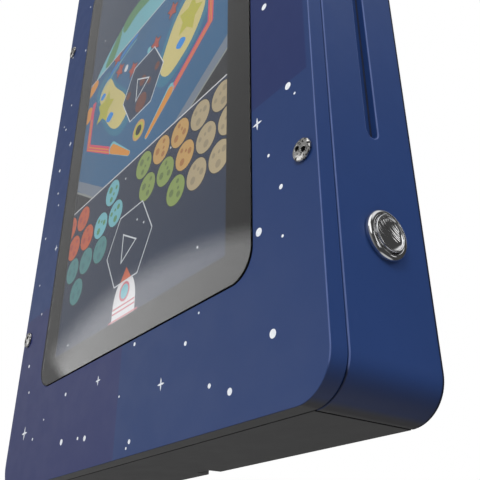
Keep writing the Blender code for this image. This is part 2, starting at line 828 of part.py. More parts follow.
def cap_profile():
    """A dished face with a raised rim, a skirt that slides in the bore, and a stem with a snap ring."""
    dish = [(0, 3.0), (4.0, 3.1), (7.5, 3.5), (10.2, 4.2)]
    rim = [(10.9, 5.3), (11.4, 5.8), (11.9, 5.6), (12.2, 4.9)]
    ring_top = BARREL_END - GAP
    ring_end = ring_top - 1.3 * MM
    return [
        *[(radius * MM, height * MM) for radius, height in dish + rim],
        (CAP_RADIUS, CAP_SKIRT),
        (STEM_RADIUS, CAP_SKIRT),
        (STEM_RADIUS, ring_top),
        (5.5 * MM, ring_top),
        (5.5 * MM, ring_end),
        (STEM_RADIUS, ring_end),
        (STEM_RADIUS, STEM_END),
        (0, STEM_END),
    ]


def make_spring(side, sign):
    turns = 5
    per_turn = 10
    wire_radius = 0.5 * MM
    coil_radius = 6.5 * MM
    start = BARREL_END + SHELF + GAP + wire_radius
    end = CAP_SKIRT - GAP - wire_radius
    points = []
    for i in range(turns * per_turn + 1):
        turn = 2 * math.pi * i / per_turn
        height = start + (end - start) * i / (turns * per_turn)
        points.append((coil_radius * math.cos(turn), coil_radius * math.sin(turn), height))
    spring = on_button_axis(sign, tube(points, wire_radius))
    finish(spring, f"button_spring_{side}", STEEL)


def make_switch(side, sign):
    """The holder that clips over the barrel's end, the microswitch between its cheeks, and its plunger."""
    wall_front, wall_back = -34.3 * MM, -36 * MM
    inner, outer = BARREL_RADIUS + GAP, 16 * MM
    start = -24 * MM
    cup = [
        (inner, start),
        (outer, start),
        (outer, wall_back),
        (5 * MM, wall_back),
        (5 * MM, wall_front),
        (inner, wall_front),
    ]
    holder = on_button_axis(sign, turned(cup))
    cheek_y = SWITCH_WIDTH / 2 + GAP + MM
    for offset in (-cheek_y, cheek_y):
        cheek = side_block(sign, -50 * MM, wall_back + MM / 2, 2 * MM, 16 * MM, y=SIDE_AXIS_Y + offset)
        join(holder, cheek)
    finish(holder, f"switch_holder_{side}", BLACK_PLASTIC)

    body_end = SWITCH_FACE - SWITCH_LENGTH
    switch = side_block(sign, body_end, SWITCH_FACE, SWITCH_WIDTH, SWITCH_HEIGHT, edge=0.5 * MM)
    bore = (out_from_side(sign, SWITCH_FACE), SIDE_AXIS_Y, BUTTON_Z)
    cut(switch, rod(bore, "X", 2.3 * MM, 10 * MM))
    for offset in (-7 * MM, 0, 7 * MM):
        blade = side_block(sign, -58 * MM, body_end + MM, 3.2 * MM, 0.8 * MM, z=BUTTON_Z + offset)
        join(switch, blade)
    finish(switch, f"microswitch_{side}", BLACK_PLASTIC)

    top, bottom = STEM_END - GAP, STEM_END - 4.5 * MM
    radius = 2 * MM
    tip = [(0, top), (1.4 * MM, top - 0.1 * MM), (radius, top - 0.7 * MM)]
    plunger = on_button_axis(sign, turned([*tip, (radius, bottom), (0, bottom)], 12))
    finish(plunger, f"switch_plunger_{side}", BLACK_PLASTIC)


def make_buttons():
    for side, sign in SIDES.items():
        finish(on_button_axis(sign, turned(bezel_profile(), 32)), f"button_bezel_{side}", CHROME)
        finish(on_button_axis(sign, turned(cap_profile(), 32)), f"button_cap_{side}", CHROME)
        nut_middle = -WALL - GAP - NUT_THICK / 2
        centre = (out_from_side(sign, nut_middle), SIDE_AXIS_Y, BUTTON_Z)
        nut = rod(centre, "X", 20.5 * MM, NUT_THICK, sides=6)
        cut(nut, rod(centre, "X", BARREL_RADIUS + GAP, 2 * NUT_THICK, sides=32))
        finish(nut, f"button_nut_{side}", STEEL)
        make_spring(side, sign)
        make_switch(side, sign)


make_side_panels()
make_end_panels()
make_back_panel()
make_connector_bay()
make_power_inlet()
make_front_cover()
make_display()
make_straps()
make_cover_screws()
make_posts()
make_back_screws()
make_boards()
make_heat_sink()
make_power_supply()
make_speakers()
make_wiring()
make_buttons()
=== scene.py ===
"""A wall-hung touch-screen game machine: fine shapes, materials, light and camera around its CAD frame.

Units are metres. The front faces -Y, the wall is at y = 0, and left and right are as a player sees
them. Every piece keeps its origin where its own axis is, and rides on one of the CAD bodies.
"""
import math

import bmesh
import bpy
from mathutils import Matrix, Vector


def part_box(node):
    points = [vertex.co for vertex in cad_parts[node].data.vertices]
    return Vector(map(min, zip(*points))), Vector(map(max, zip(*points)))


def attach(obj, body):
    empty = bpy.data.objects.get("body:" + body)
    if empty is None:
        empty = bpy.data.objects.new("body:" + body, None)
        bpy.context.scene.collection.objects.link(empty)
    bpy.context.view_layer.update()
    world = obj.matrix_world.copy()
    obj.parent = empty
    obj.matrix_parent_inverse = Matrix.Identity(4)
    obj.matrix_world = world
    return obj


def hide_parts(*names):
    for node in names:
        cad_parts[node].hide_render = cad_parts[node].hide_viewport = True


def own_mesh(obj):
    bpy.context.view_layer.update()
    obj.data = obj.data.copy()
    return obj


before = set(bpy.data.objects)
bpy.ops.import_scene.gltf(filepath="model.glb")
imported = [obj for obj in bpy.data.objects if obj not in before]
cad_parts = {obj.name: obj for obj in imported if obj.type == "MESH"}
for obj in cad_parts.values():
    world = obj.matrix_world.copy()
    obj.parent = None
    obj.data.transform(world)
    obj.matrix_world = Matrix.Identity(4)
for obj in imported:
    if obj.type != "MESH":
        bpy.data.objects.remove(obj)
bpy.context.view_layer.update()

MM = 0.001
SIDES = {"left": -1, "right": 1}
ENDS = {"lower": -1, "upper": 1}
HANDS = [f"{end}_{side}" for end in ENDS for side in SIDES]


# ---------------------------------------- materials


class Nodes:
    """A node tree, with short ways to add nodes and join them."""

    def __init__(self, tree):
        self.tree = tree

    def node(self, kind, inputs=None, **settings):
        """Adds a node. An input is a value, or the output of another node."""
        node = self.tree.nodes.new("ShaderNode" + kind)
        for key, value in settings.items():
            setattr(node, key, value)
        for socket, value in (inputs or {}).items():
            self.join(value, node.inputs[socket])
        return node

    def join(self, value, socket):
        if isinstance(value, bpy.types.NodeSocket):
            self.tree.links.new(value, socket)
        else:
            socket.default_value = value

    def math(self, operation, first, *others):
        """Takes the others into the first one by one. ABSOLUTE needs no others."""
        for other in others or (0.0,):
            first = self.node("Math", {0: first, 1: other}, operation=operation).outputs[0]
        return first

    def ramp(self, source, start, end, low=0.0, high=1.0, kind="SMOOTHSTEP"):
        """Takes source from low at start to high at end, and no further."""
        inputs = {"Value": source, "From Min": start, "From Max": end, "To Min": low, "To Max": high}
        return self.node("MapRange", inputs, interpolation_type=kind).outputs["Result"]


class Finish(Nodes):
    """A Principled material, and the patterns in its colour, roughness and bumps."""

    def __init__(self, name, specular=0.5, metallic=0.0):
        self.material = bpy.data.materials.new(name)
        self.material.use_nodes = True
        super().__init__(self.material.node_tree)
        self.shader = self.tree.nodes["Principled BSDF"]
        self.set("Specular IOR Level", specular)
        self.set("Metallic", metallic)

    def set(self, socket, value):
        self.join(value, self.shader.inputs[socket])

    def place(self):
        return self.node("TexCoord").outputs["Object"]

    def part(self, vector, name):
        return self.node("SeparateXYZ", {0: vector}).outputs[name]

    def axis(self, name):
        """The X, Y or Z of the surface point."""
        return self.part(self.place(), name)

    def off_centre(self, name):
        """The surface point's distance from the machine's middle, along an axis."""
        return self.math("ABSOLUTE", self.axis(name))

    def stretched(self, scale):
        return self.node("Mapping", {"Vector": self.place(), "Scale": scale}).outputs[0]

    def noise(self, scale, detail=2.0, stretch=(1, 1, 1), roughness=0.5):
        inputs = {"Vector": self.stretched(stretch), "Scale": scale, "Detail": detail, "Roughness": roughness}
        return self.node("TexNoise", inputs).outputs["Fac"]

    def drift(self, scale, detail, low=0.0, high=1.0):
        """A noise that wanders from low to high."""
        return self.ramp(self.noise(scale, detail), 0.3, 0.7, low, high)

    def cells(self, scale, output="Distance", feature="F1", stretch=(1, 1, 1)):
        inputs = {"Vector": self.stretched(stretch), "Scale": scale}
        return self.node("TexVoronoi", inputs, feature=feature).outputs[output]

    def mix(self, factor, first, second):
        """Goes from the first colour to the second."""
        node = self.node("Mix", data_type="RGBA")
        values = {"Factor_Float": factor, "A_Color": first, "B_Color": second}
        for socket in node.inputs:
            value = values.get(socket.identifier)
            if value is not None:
                self.join((*value, 1.0) if isinstance(value, tuple) else value, socket)
        return next(socket for socket in node.outputs if socket.identifier == "Result_Color")

    def tones(self, scale, detail, first, second):
        """Two colours that drift into each other."""
        return self.mix(self.drift(scale, detail), first, second)

    def done(self, colour, roughness, *bumps):
        """Sets the patterns. Each bump is a height and its distance in metres."""
        normal = {}
        for height, distance in bumps:
            inputs = {"Height": height, "Distance": distance, "Strength": 1.0, **normal}
            normal = {"Normal": self.node("Bump", inputs).outputs[0]}
        for socket, value in {"Base Color": colour, "Roughness": roughness, **normal}.items():
            self.set(socket, value)
        return self.material


def shade(colour, factor):
    return tuple(channel * factor for channel in colour)


BLUE = (0.0165, 0.044, 0.156)
BLUE_VIOLET = (0.024, 0.0335, 0.132)
BLUE_DUSK = (0.015, 0.029, 0.1236)
# Painted shade: this blue darkens the turned corners, the seams and the edge at the wall.
SHADE_BLUE = (0.0145, 0.0245, 0.074)
# Painted highlight on the rounded front edges by the sides.
EDGE_HIGHLIGHT_BLUE = (0.083, 0.122, 0.29)
RUBBED_BLUE = (0.075, 0.1125, 0.25)
# The first grey is only painted shade round the turned corners. The second is the flat panels' own colour,
# and also painted shade where the blue faces turn fully up or down.
DEEP_SHADE_GREY = (0.04, 0.04, 0.044)
CHARCOAL = (0.066, 0.066, 0.066)


def painted_turn_shade(finish, colour):
    """Painted shade: round the casing's upper and lower corners the colour darkens as the surface turns up or
    down, and ends charcoal where it faces straight up or down.
    """
    near_end = finish.ramp(finish.off_centre("Z"), 0.315, 0.325)
    normal = finish.node("TexCoord").outputs["Normal"]
    upright = finish.math("ABSOLUTE", finish.part(normal, "Z"))
    # Each step paints more shade, the further the surface turns up or down.
    for start, end, darker in ((0.15, 0.85, SHADE_BLUE), (0.88, 0.98, DEEP_SHADE_GREY), (0.985, 1.0, CHARCOAL)):
        turned = finish.math("MULTIPLY", near_end, finish.ramp(upright, start, end))
        colour = finish.mix(turned, colour, darker)
    return colour


def rubbed(finish, colour):
    """Lightens a few small spots, where hands pass most."""
    spots = finish.ramp(finish.noise(55, 6, roughness=0.65), 0.66, 0.8, 0.0, 0.12)
    return finish.mix(spots, colour, RUBBED_BLUE)


def satin_paint(finish, colour):
    """Fine orange peel, and a roughness that wanders a little."""
    return finish.done(colour, finish.drift(60, 4, 0.42, 0.47), (finish.noise(900, 2), 0.000006))


def casing_paint():
    """The blue of the side panels, with painted shade along the wall and on the tongues under the flat
    panels.
    """
    finish = Finish("casing_paint", specular=0.31)
    blue = finish.tones(9, 3, shade(BLUE, 0.98), shade(BLUE, 1.02))
    # Painted shade: near black along the rear edge at the wall, and on the tongues that show through the gaps
    # beside the flat panels.
    wall_shade = finish.ramp(finish.axis("Y"), -0.0026, -0.0018)
    tongue = finish.ramp(finish.off_centre("X"), 0.1975, 0.1979, 1.0, 0.0, "LINEAR")
    seam_shade = finish.math("MAXIMUM", wall_shade, tongue)
    painted = painted_turn_shade(finish, rubbed(finish, blue))
    return satin_paint(finish, finish.mix(seam_shade, painted, shade(SHADE_BLUE, 0.3)))


def edge_highlight_paint():
    """The rounded edges, with a painted highlight: a lighter blue along the front edges by the sides.
    Elsewhere the casing's edges take painted shade for the seam, and all edges take painted shade at the
    wall.
    """
    finish = Finish("edge_highlight_paint", specular=0.4)
    # Painted highlight, for the light that the rounded edges catch.
    light = finish.tones(60, 4, shade(EDGE_HIGHLIGHT_BLUE, 0.92), shade(EDGE_HIGHLIGHT_BLUE, 1.08))
    side = finish.ramp(finish.off_centre("X"), 0.2215, 0.224)
    casing = finish.ramp(finish.axis("Y"), -0.0785, -0.0775)
    # Painted shade in the seam in front of the casing, and at the wall.
    rear = finish.ramp(finish.axis("Y"), -0.014, -0.008)
    plain = finish.mix(casing, BLUE, shade(SHADE_BLUE, 0.4))
    colour = finish.mix(rear, finish.mix(side, plain, light), SHADE_BLUE)
    return satin_paint(finish, painted_turn_shade(finish, colour))


def cover_print():
    """The printed front: three blues that meet at sharp borders, each with a soft drift of tone."""
    finish = Finish("cover_print", specular=0.31)
    x, z = finish.axis("X"), finish.axis("Z")
    below = finish.ramp(z, -0.178, -0.1776, 1.0, 0.0, "LINEAR")
    left = finish.ramp(x, -0.0002, 0.0002, 1.0, 0.0, "LINEAR")
    above = finish.ramp(z, -0.1402, -0.1398, kind="LINEAR")
    right = finish.ramp(x, 0.0, 0.0004, kind="LINEAR")
    inside_rim = finish.ramp(x, 0.219, 0.221, 1.0, 0.0)
    colour = finish.tones(5, 2, shade(BLUE, 0.98), shade(BLUE, 1.02))
    colour = finish.mix(finish.math("MULTIPLY", below, left), colour, BLUE_VIOLET)
    colour = finish.mix(finish.math("MULTIPLY", above, right, inside_rim), colour, BLUE_DUSK)
    return satin_paint(finish, painted_turn_shade(finish, rubbed(finish, colour)))


def star_ink():
    finish = Finish("star_ink", specular=0.3)
    colour = finish.tones(160, 3, (0.74, 0.78, 0.86), (0.92, 0.95, 0.98))
    return finish.done(colour, 0.4, (finish.noise(900, 2), 0.00001))


def charcoal_coat():
    """Fine-textured powder coat, with painted shade along the seams."""
    finish = Finish("charcoal_coat", specular=0.4)
    grain = finish.noise(1500, 2)
    colour = finish.tones(14, 4, shade(CHARCOAL, 0.97), shade(CHARCOAL, 1.03))
    speck = finish.ramp(grain, 0.55, 0.75, 0.0, 0.25)
    colour = finish.mix(speck, colour, shade(CHARCOAL, 1.7))
    # Painted shade: the panel's ends and its front edge go near black for the seams beside them.
    end = finish.ramp(finish.off_centre("X"), 0.1965, 0.1968)
    front = finish.ramp(finish.axis("Y"), -0.0765, -0.0763, 1.0, 0.0)
    colour = finish.mix(finish.math("MAXIMUM", end, front), colour, shade(CHARCOAL, 0.08))
    return finish.done(colour, finish.drift(45, 3, 0.56, 0.62), (grain, 0.00003))


def brushed_metal(name, colour, roughness, stretch):
    """Metal with fine lines along the axis that stretch makes short."""
    finish = Finish(name, metallic=1.0)
    lines = finish.noise(900, 3, stretch=stretch)
    stain = finish.ramp(finish.noise(22, 4), 0.35, 0.7)
    rough = finish.math("ADD", finish.ramp(lines, 0.3, 0.7, -0.05, 0.08), roughness)
    return finish.done(finish.mix(stain, shade(colour, 0.9), colour), rough, (lines, 0.00002))


def zinc_sheet(name):
    """Zinc-plated sheet steel, with faint crystals and a few rubbed marks."""
    finish = Finish(name, metallic=1.0)
    crystal = finish.part(finish.cells(160, "Color"), "X")
    colour = finish.mix(finish.ramp(crystal, 0.0, 1.0), (0.4, 0.42, 0.43), (0.52, 0.53, 0.54))
    marks = finish.ramp(finish.noise(30, 6, stretch=(1, 1, 4)), 0.6, 0.72, 0.0, 0.5)
    colour = finish.mix(marks, colour, (0.3, 0.31, 0.32))
    bumps = (finish.noise(1100, 2), 0.00001), (finish.noise(60, 2), 0.00003)
    return finish.done(colour, finish.drift(70, 4, 0.3, 0.44), *bumps)


def back_coat():
    """Grey powder-coated steel with hanging marks round the mounting holes."""
    finish = Finish("back_coat", specular=0.4)
    colour = finish.tones(10, 4, (0.105, 0.108, 0.112), (0.13, 0.133, 0.137))
    marks = finish.ramp(finish.noise(26, 8, stretch=(3, 1, 1), roughness=0.7), 0.62, 0.74, 0.0, 0.5)
    colour = finish.mix(marks, colour, (0.2, 0.2, 0.2))
    bumps = (finish.noise(1300, 2), 0.00005), (finish.noise(220, 2), 0.00004)
    return finish.done(colour, finish.drift(50, 3, 0.48, 0.62), *bumps)


def chrome():
    finish = Finish("chrome", metallic=1.0)
    smudge = finish.ramp(finish.noise(120, 5), 0.45, 0.75)
    scratches = finish.noise(1400, 2, stretch=(1, 0.15, 1))
    colour = finish.mix(smudge, (0.78, 0.78, 0.79), (0.66, 0.66, 0.67))
    return finish.done(colour, finish.ramp(smudge, 0.0, 1.0, 0.03, 0.08), (scratches, 0.000004))


def drawn_chrome():
    """The caps' chrome. The upper half of its dish keeps slanting streaks from the press.

    Its axes are the cap's own: Z is out of the side panel and Y is up.
    """
    finish = Finish("drawn_chrome", metallic=1.0)
    slant = finish.math("ADD", finish.math("MULTIPLY", finish.axis("Y"), 1.2), finish.axis("X"))
    across = finish.node("CombineXYZ", {0: slant}).outputs[0]
    streaks = finish.node("TexNoise", {"Vector": across, "Scale": 420, "Detail": 1.0}).outputs["Fac"]
    dish = finish.ramp(finish.axis("Z"), 4.1 * MM, 4.3 * MM, 1.0, 0.0)
    upper = finish.ramp(finish.axis("Y"), -6 * MM, 2 * MM)
    pressed = finish.math("MULTIPLY", streaks, dish, upper)
    return finish.done((0.74, 0.74, 0.75, 1.0), 0.07, (pressed, 0.0006))


def worn_chrome():
    """Dull chrome, pitted and dotted with grime."""
    finish = Finish("worn_chrome", metallic=1.0)
    pits = finish.noise(700, 3, roughness=0.6)
    stained = finish.ramp(finish.noise(150, 3), 0.4, 0.52)
    dots = finish.math("MULTIPLY", finish.ramp(pits, 0.5, 0.56), stained)
    colour = finish.mix(dots, (0.64, 0.63, 0.61), (0.03, 0.03, 0.03))
    return finish.done(colour, finish.ramp(pits, 0.3, 0.7, 0.14, 0.32), (pits, 0.00008))


def moulded_plastic(name, colour, roughness=0.5):
    finish = Finish(name, specular=0.45)
    rough = finish.drift(80, 3, roughness - 0.06, roughness + 0.06)
    bumps = (finish.cells(1100), 0.00004), (finish.noise(500, 2), 0.00002)
    return finish.done(finish.tones(25, 3, shade(colour, 0.85), shade(colour, 1.2)), rough, *bumps)


def foam():
    finish = Finish("foam", specular=0.2)
    pores = finish.cells(1600)
    colour = finish.mix(finish.ramp(pores, 0.2, 0.7), (0.006, 0.006, 0.006), (0.022, 0.022, 0.023))
    return finish.done(colour, 0.9, (pores, 0.00015))


def circuit():
    """Green solder mask with fine copper tracks and tinned dots."""
    finish = Finish("circuit", specular=0.5)
    tracks = finish.cells(220, feature="DISTANCE_TO_EDGE", stretch=(1, 0.02, 1))
    track = finish.ramp(tracks, 0.03, 0.05, 1.0, 0.0)
    dots = finish.ramp(finish.cells(400, stretch=(1, 0.02, 1)), 0.1, 0.14, 1.0, 0.0)
    mask = finish.tones(30, 3, (0.006, 0.06, 0.022), (0.01, 0.085, 0.034))
    colour = finish.mix(track, mask, (0.016, 0.13, 0.055))
    finish.set("Metallic", dots)
    colour = finish.mix(dots, colour, (0.55, 0.56, 0.58))
    return finish.done(colour, finish.ramp(dots, 0.0, 1.0, 0.38, 0.25), (track, 0.00003), (dots, 0.00008))


def clear_glass():
    finish = Finish("clear_glass")
    finish.set("IOR", 1.5)
    finish.set("Transmission Weight", 1.0)
    grease = finish.ramp(finish.noise(28, 5), 0.5, 0.8)
    return finish.done((1, 1, 1, 1), finish.ramp(grease, 0.0, 1.0, 0.0, 0.03))


def glass_ink():
    """The dark band printed on the back of the glass."""
    finish = Finish("glass_ink", specular=0.0)
    colour = finish.tones(300, 3, (0.006, 0.006, 0.006), (0.01, 0.01, 0.01))
    return finish.done(colour, 0.8, (finish.noise(1200, 1), 0.00001))


def screen_light(name, colour):
    """One colour of the lit picture, uneven as a backlight is, under a fine grid of pixels."""
    finish = Finish(name, specular=0.0)
    even = finish.tones(7, 2, shade(colour, 0.93), shade(colour, 1.05))
    upright = finish.node("CombineXYZ", {0: finish.axis("X"), 1: finish.axis("Z")}).outputs[0]
    sizes = {"Scale": 1.0, "Brick Width": 0.25 * MM, "Row Height": 0.25 * MM, "Mortar Size": 0.02 * MM}
    grid = finish.node("TexBrick", {"Vector": upright, **sizes}, offset=0.0).outputs["Fac"]
    finish.set("Emission Strength", 1.0)
    finish.set("Emission Color", finish.mix(finish.math("MULTIPLY", grid, 0.15), even, (0, 0, 0)))
    return finish.done((0.01, 0.01, 0.012, 1.0), 0.8)


SCREEN_COLOURS = {
    "night": (0.016, 0.037, 0.083),
    "space": (0.013, 0.026, 0.062),
    "sea": (0.02, 0.117, 0.256),
    "sea_light": (0.024, 0.175, 0.29),
    "sand": (0.63, 0.545, 0.208),
    "yellow": (0.48, 0.46, 0.05),
    "red": (0.55, 0.11, 0.042),
    "crimson": (0.4, 0.07, 0.05),
    "coral": (0.66, 0.06, 0.13),
    "orange": (0.71, 0.28, 0.03),
    "amber": (0.575, 0.345, 0.112),
    "rust": (0.4, 0.18, 0.05),
    "tan": (0.445, 0.36, 0.215),
    "khaki": (0.32, 0.265, 0.165),
    "brown": (0.15, 0.045, 0.03),
    "green": (0.255, 0.348, 0.092),
    "moss": (0.14, 0.2, 0.06),
    "leaf": (0.1, 0.28, 0.12),
    "cyan": (0.175, 0.48, 0.55),
    "sky": (0.01, 0.25, 0.72),
    "teal": (0.075, 0.24, 0.245),
    "deep_teal": (0.06, 0.19, 0.205),
    "grey": (0.18, 0.22, 0.28),
    "ash": (0.27, 0.29, 0.28),
    "shadow": (0.012, 0.014, 0.018),
    "line": (0.66, 0.7, 0.74),
    "white": (0.7, 0.7, 0.72),
    "pink": (0.56, 0.13, 0.17),
}


# ---------------------------------------- mesh tools


def arc(centre_x, centre_y, radius, start, end, steps, squash=1.0):
    """Points of an arc in degrees, with both ends. squash scales it along its second axis."""
    turns = [math.radians(start + (end - start) * i / steps) for i in range(steps + 1)]
    return [(centre_x + radius * math.cos(t), centre_y + radius * squash * math.sin(t)) for t in turns]


def spot(x, y, reach, angle):
    """The point at that reach from (x, y), in the direction of an angle in degrees."""
    turn = math.radians(angle)
    return x + reach * math.cos(turn), y + reach * math.sin(turn)


def rounded_rectangle(width, height, radius):
    """Its corners run anticlockwise from the lower right."""
    x, z = width / 2 - radius, height / 2 - radius
    points = []
    for start, (side, end) in zip((-90, 0, 90, 180), ((1, -1), (1, 1), (-1, 1), (-1, -1))):
        points += arc(side * x, end * z, radius, start, start + 90, 14)
    return points


def linked(name, data):
    """A new object in the scene."""
    item = bpy.data.objects.new(name, data)
    bpy.context.scene.collection.objects.link(item)
    return item


def mesh_object(name, builder, material):
    """Makes the object, with smooth shading between its sharp edges."""
    bmesh.ops.recalc_face_normals(builder, faces=builder.faces)
    mesh = bpy.data.meshes.new(name)
    builder.to_mesh(mesh)
    builder.free()
    for entry in material if isinstance(material, list) else [material]:
        mesh.materials.append(entry)
    mesh.shade_smooth()
    mesh.set_sharp_from_angle(angle=math.radians(35))
    return linked(name, mesh)


def in_pairs(rows, closed):
    """Each row with the next one, and if closed, the last with the first."""
    return zip(rows, rows[1:] + rows[:1] if closed else rows[1:])


def bridge(builder, rings, closed=False):
    """Joins rings of equally many points with quads, and closes the loop of rings or caps its ends."""
    circles = [[builder.verts.new(point) for point in ring] for ring in rings]
    if not closed:
        builder.faces.new(circles[0])
        builder.faces.new(circles[-1])
    for first, second in in_pairs(circles, closed):
        for i in range(len(first)):
            j = (i + 1) % len(first)
            builder.faces.new((first[i], first[j], second[j], second[i]))


def plate_loft(name, sections, material, closed=False):
    """A plate that faces the player. Each section is (width, height, corner radius, y)."""
    builder = bmesh.new()
    bridge(builder, [[(x, y, z) for x, z in rounded_rectangle(*outline)] for *outline, y in sections], closed)
    return mesh_object(name, builder, material)


def rounding(width, height, radius, edge, front, inward=1):
    """Sections of a rounded front edge, from the side of the outline to the face in front."""
    sections = []
    for reach, rise in arc(0, 0, edge, 0, 90, 4):
        inset = inward * (edge - reach)
        sections.append((width - 2 * inset, height - 2 * inset, radius - inset, front + edge - rise))
    return sections


def prism(name, outline, low, high, axis, material):
    """A solid with a flat outline, between two places along an axis."""
    places = {
        "X": lambda u, v, w: (w, u, v),
        "Y": lambda u, v, w: (u, w, v),
        "Z": lambda u, v, w: (u, v, w),
    }
    builder = bmesh.new()
    bridge(builder, [[places[axis](u, v, w) for u, v in outline] for w in (low, high)])
    return mesh_object(name, builder, material)


def turned(name, profile, steps, material, closed=False):
    """A profile of (radius, height) points turned about Z. Radius 0 is a point on the axis."""
    builder = bmesh.new()
    rows = []
    for radius, height in profile:
        count = steps if radius > 0 else 1
        turns = [2 * math.pi * i / steps for i in range(count)]
        rows.append([builder.verts.new((radius * math.cos(t), radius * math.sin(t), height)) for t in turns])
    for first, second in in_pairs(rows, closed):
        for i in range(steps):
            j = (i + 1) % steps
            corners = [(first, i), (first, j), (second, j), (second, i)]
            builder.faces.new(list(dict.fromkeys(row[k % len(row)] for row, k in corners)))
    return mesh_object(name, builder, material)


def applied(item):
    """Turns an object's modifiers into its mesh."""
    graph = bpy.context.evaluated_depsgraph_get()
    mesh = bpy.data.meshes.new_from_object(item.evaluated_get(graph))
    plain = item.data
    item.modifiers.clear()
    item.data = mesh
    mesh.name = item.name
    bpy.data.meshes.remove(plain)


def cut(item, *tools):
    for tool in tools:
        modifier = item.modifiers.new("Cut", "BOOLEAN")
        modifier.object = tool
        modifier.solver = "EXACT"
        modifier.material_mode = "TRANSFER"
    bpy.context.view_layer.update()
    applied(item)
    for tool in tools:
        bpy.data.objects.remove(tool, do_unlink=True)


def soften(item, width, material=-1):
    """Rounds the sharp edges and keeps the flat faces flat in their shading."""
    bevel = item.modifiers.new("Bevel", "BEVEL")
    bevel.width = width
    bevel.segments = 3
    bevel.limit_method = "ANGLE"
    bevel.angle_limit = math.radians(40)
    bevel.material = material
    flatten(item)


def flatten(item):
    weighted = item.modifiers.new("Weighted normals", "WEIGHTED_NORMAL")
    weighted.keep_sharp = True
    return item


def along(item, centre, axis):
    """Stands a turned piece at centre, with its height along the axis."""
    item.matrix_world = Matrix.Translation(centre) @ Vector(axis).to_track_quat("Z", "Y").to_matrix().to_4x4()
    return item


def drill(centre, axis, radius, length, steps=32, material=None):
    """A round cutter about its centre. The hole takes its material, if any."""
    end = length / 2
    profile = [(0, -end), (radius, -end), (radius, end), (0, end)]
    return along(turned("drill", profile, steps, material), centre, axis)


def middle(name, y):
    """The middle of a CAD node's box, at depth y."""
    low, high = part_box(name)
    return Vector(((low.x + high.x) / 2, y, (low.z + high.z) / 2))


def settle(item, body="casing", stands_for=()):
    """Hands a piece to the frame: its body and the CAD nodes it stands for."""
    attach(item, body)
    if stands_for:
        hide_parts(*stands_for)


# ---------------------------------------- sizes, from the frame

COVER_LOW, COVER_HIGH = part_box("front_cover")
GLASS_LOW, GLASS_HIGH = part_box("touch_glass")
LCD_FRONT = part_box("lcd_panel")[0].y
BEZEL_LOW, BEZEL_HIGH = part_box("button_bezel_right")

WIDTH = COVER_HIGH.x - COVER_LOW.x
HEIGHT = COVER_HIGH.z - COVER_LOW.z
FRONT = COVER_LOW.y
CORNER = 27 * MM
WALL = 9 * MM
LAP_DEPTH = 6 * MM
LAP = 20 * MM
FIT = 0.3 * MM
EDGE = 0.4 * MM  # rounding of the casing's outer edges
FRONT_EDGE = 0.6 * MM
SIDE_EDGE = 0.8 * MM
SEAM = 0.8 * MM  # between the cover and the casing behind it
BUTTON_Y = (BEZEL_LOW.y + BEZEL_HIGH.y) / 2
BUTTON_Z = (BEZEL_LOW.z + BEZEL_HIGH.z) / 2


# ---------------------------------------- casing


def make_front_cover(material, edge_material):
    """A plate with a rounded rim, a rebate for the glass and a window behind it."""
    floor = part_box("glass_gasket")[1].y + FIT
    back = COVER_HIGH.y
    glass_width = GLASS_HIGH.x - GLASS_LOW.x + 2 * FIT
    glass_height = GLASS_HIGH.z - GLASS_LOW.z + 2 * FIT
    glass_corner = 21.3 * MM
    lip = 0.4 * MM
    outer = rounding(WIDTH, HEIGHT, CORNER, FRONT_EDGE, FRONT)
    rebate = rounding(glass_width, glass_height, glass_corner, lip, FRONT, inward=-1)
    window = (300 * MM, 502 * MM, 6 * MM)
    rear = [(*outline, back + FRONT - y) for *outline, y in rounding(WIDTH, HEIGHT, CORNER, EDGE, FRONT)]
    steps = [(glass_width, glass_height, glass_corner, floor), (*window, floor), (*window, back)]
    sections = [*outer, *reversed(rebate), *steps, *reversed(rear)]
    cover = plate_loft("cover_plate", sections, material, closed=True)
    through, tapped = (2.7 * MM, 60 * MM), (2.1 * MM, 14 * MM)  # radius and length of each cutter
    holes = []
    for name in HANDS:
        holes.append(drill(middle(f"cover_screw_{name}", FRONT), (0, 1, 0), *through))
        holes.append(drill(middle(f"strap_screw_{name}", back), (0, 1, 0), *tapped))
    cut(cover, *holes)
    # The rounded rim beyond the glass takes the edge paint, with its painted highlight and shade.
    cover.data.materials.append(edge_material)
    for face in cover.data.polygons:
        x, y, z = face.center
        beyond = abs(x) > GLASS_HIGH.x + CORNER / 2 or abs(z) > GLASS_HIGH.z + CORNER / 2
        if beyond and y < FRONT + FRONT_EDGE and face.normal.y > -0.99:
            face.material_index = len(cover.data.materials) - 1
    settle(flatten(cover), stands_for=["front_cover"])


def side_outline(sign):
    """The outer face and its two round corners, with a thin tongue at each end under the flat panels."""
    middle_x, middle_z = WIDTH / 2 - CORNER, HEIGHT / 2 - CORNER
    tongue_end = middle_x - LAP
    tongue_face = HEIGHT / 2 - LAP_DEPTH - FIT
    inner = HEIGHT / 2 - WALL
    tongue = [(middle_x, tongue_face), (tongue_end, tongue_face), (tongue_end, inner)]
    outline = [
        *arc(middle_x, -middle_z, CORNER, -90, 0, 20),
        *arc(middle_x, middle_z, CORNER, 0, 90, 20),
        *tongue,
        *arc(middle_x, middle_z, CORNER - WALL, 90, 0, 20),
        *arc(middle_x, -middle_z, CORNER - WALL, 0, -90, 20),
        *[(x, -z) for x, z in reversed(tongue)],
    ]
    return [(sign * x, z) for x, z in outline]


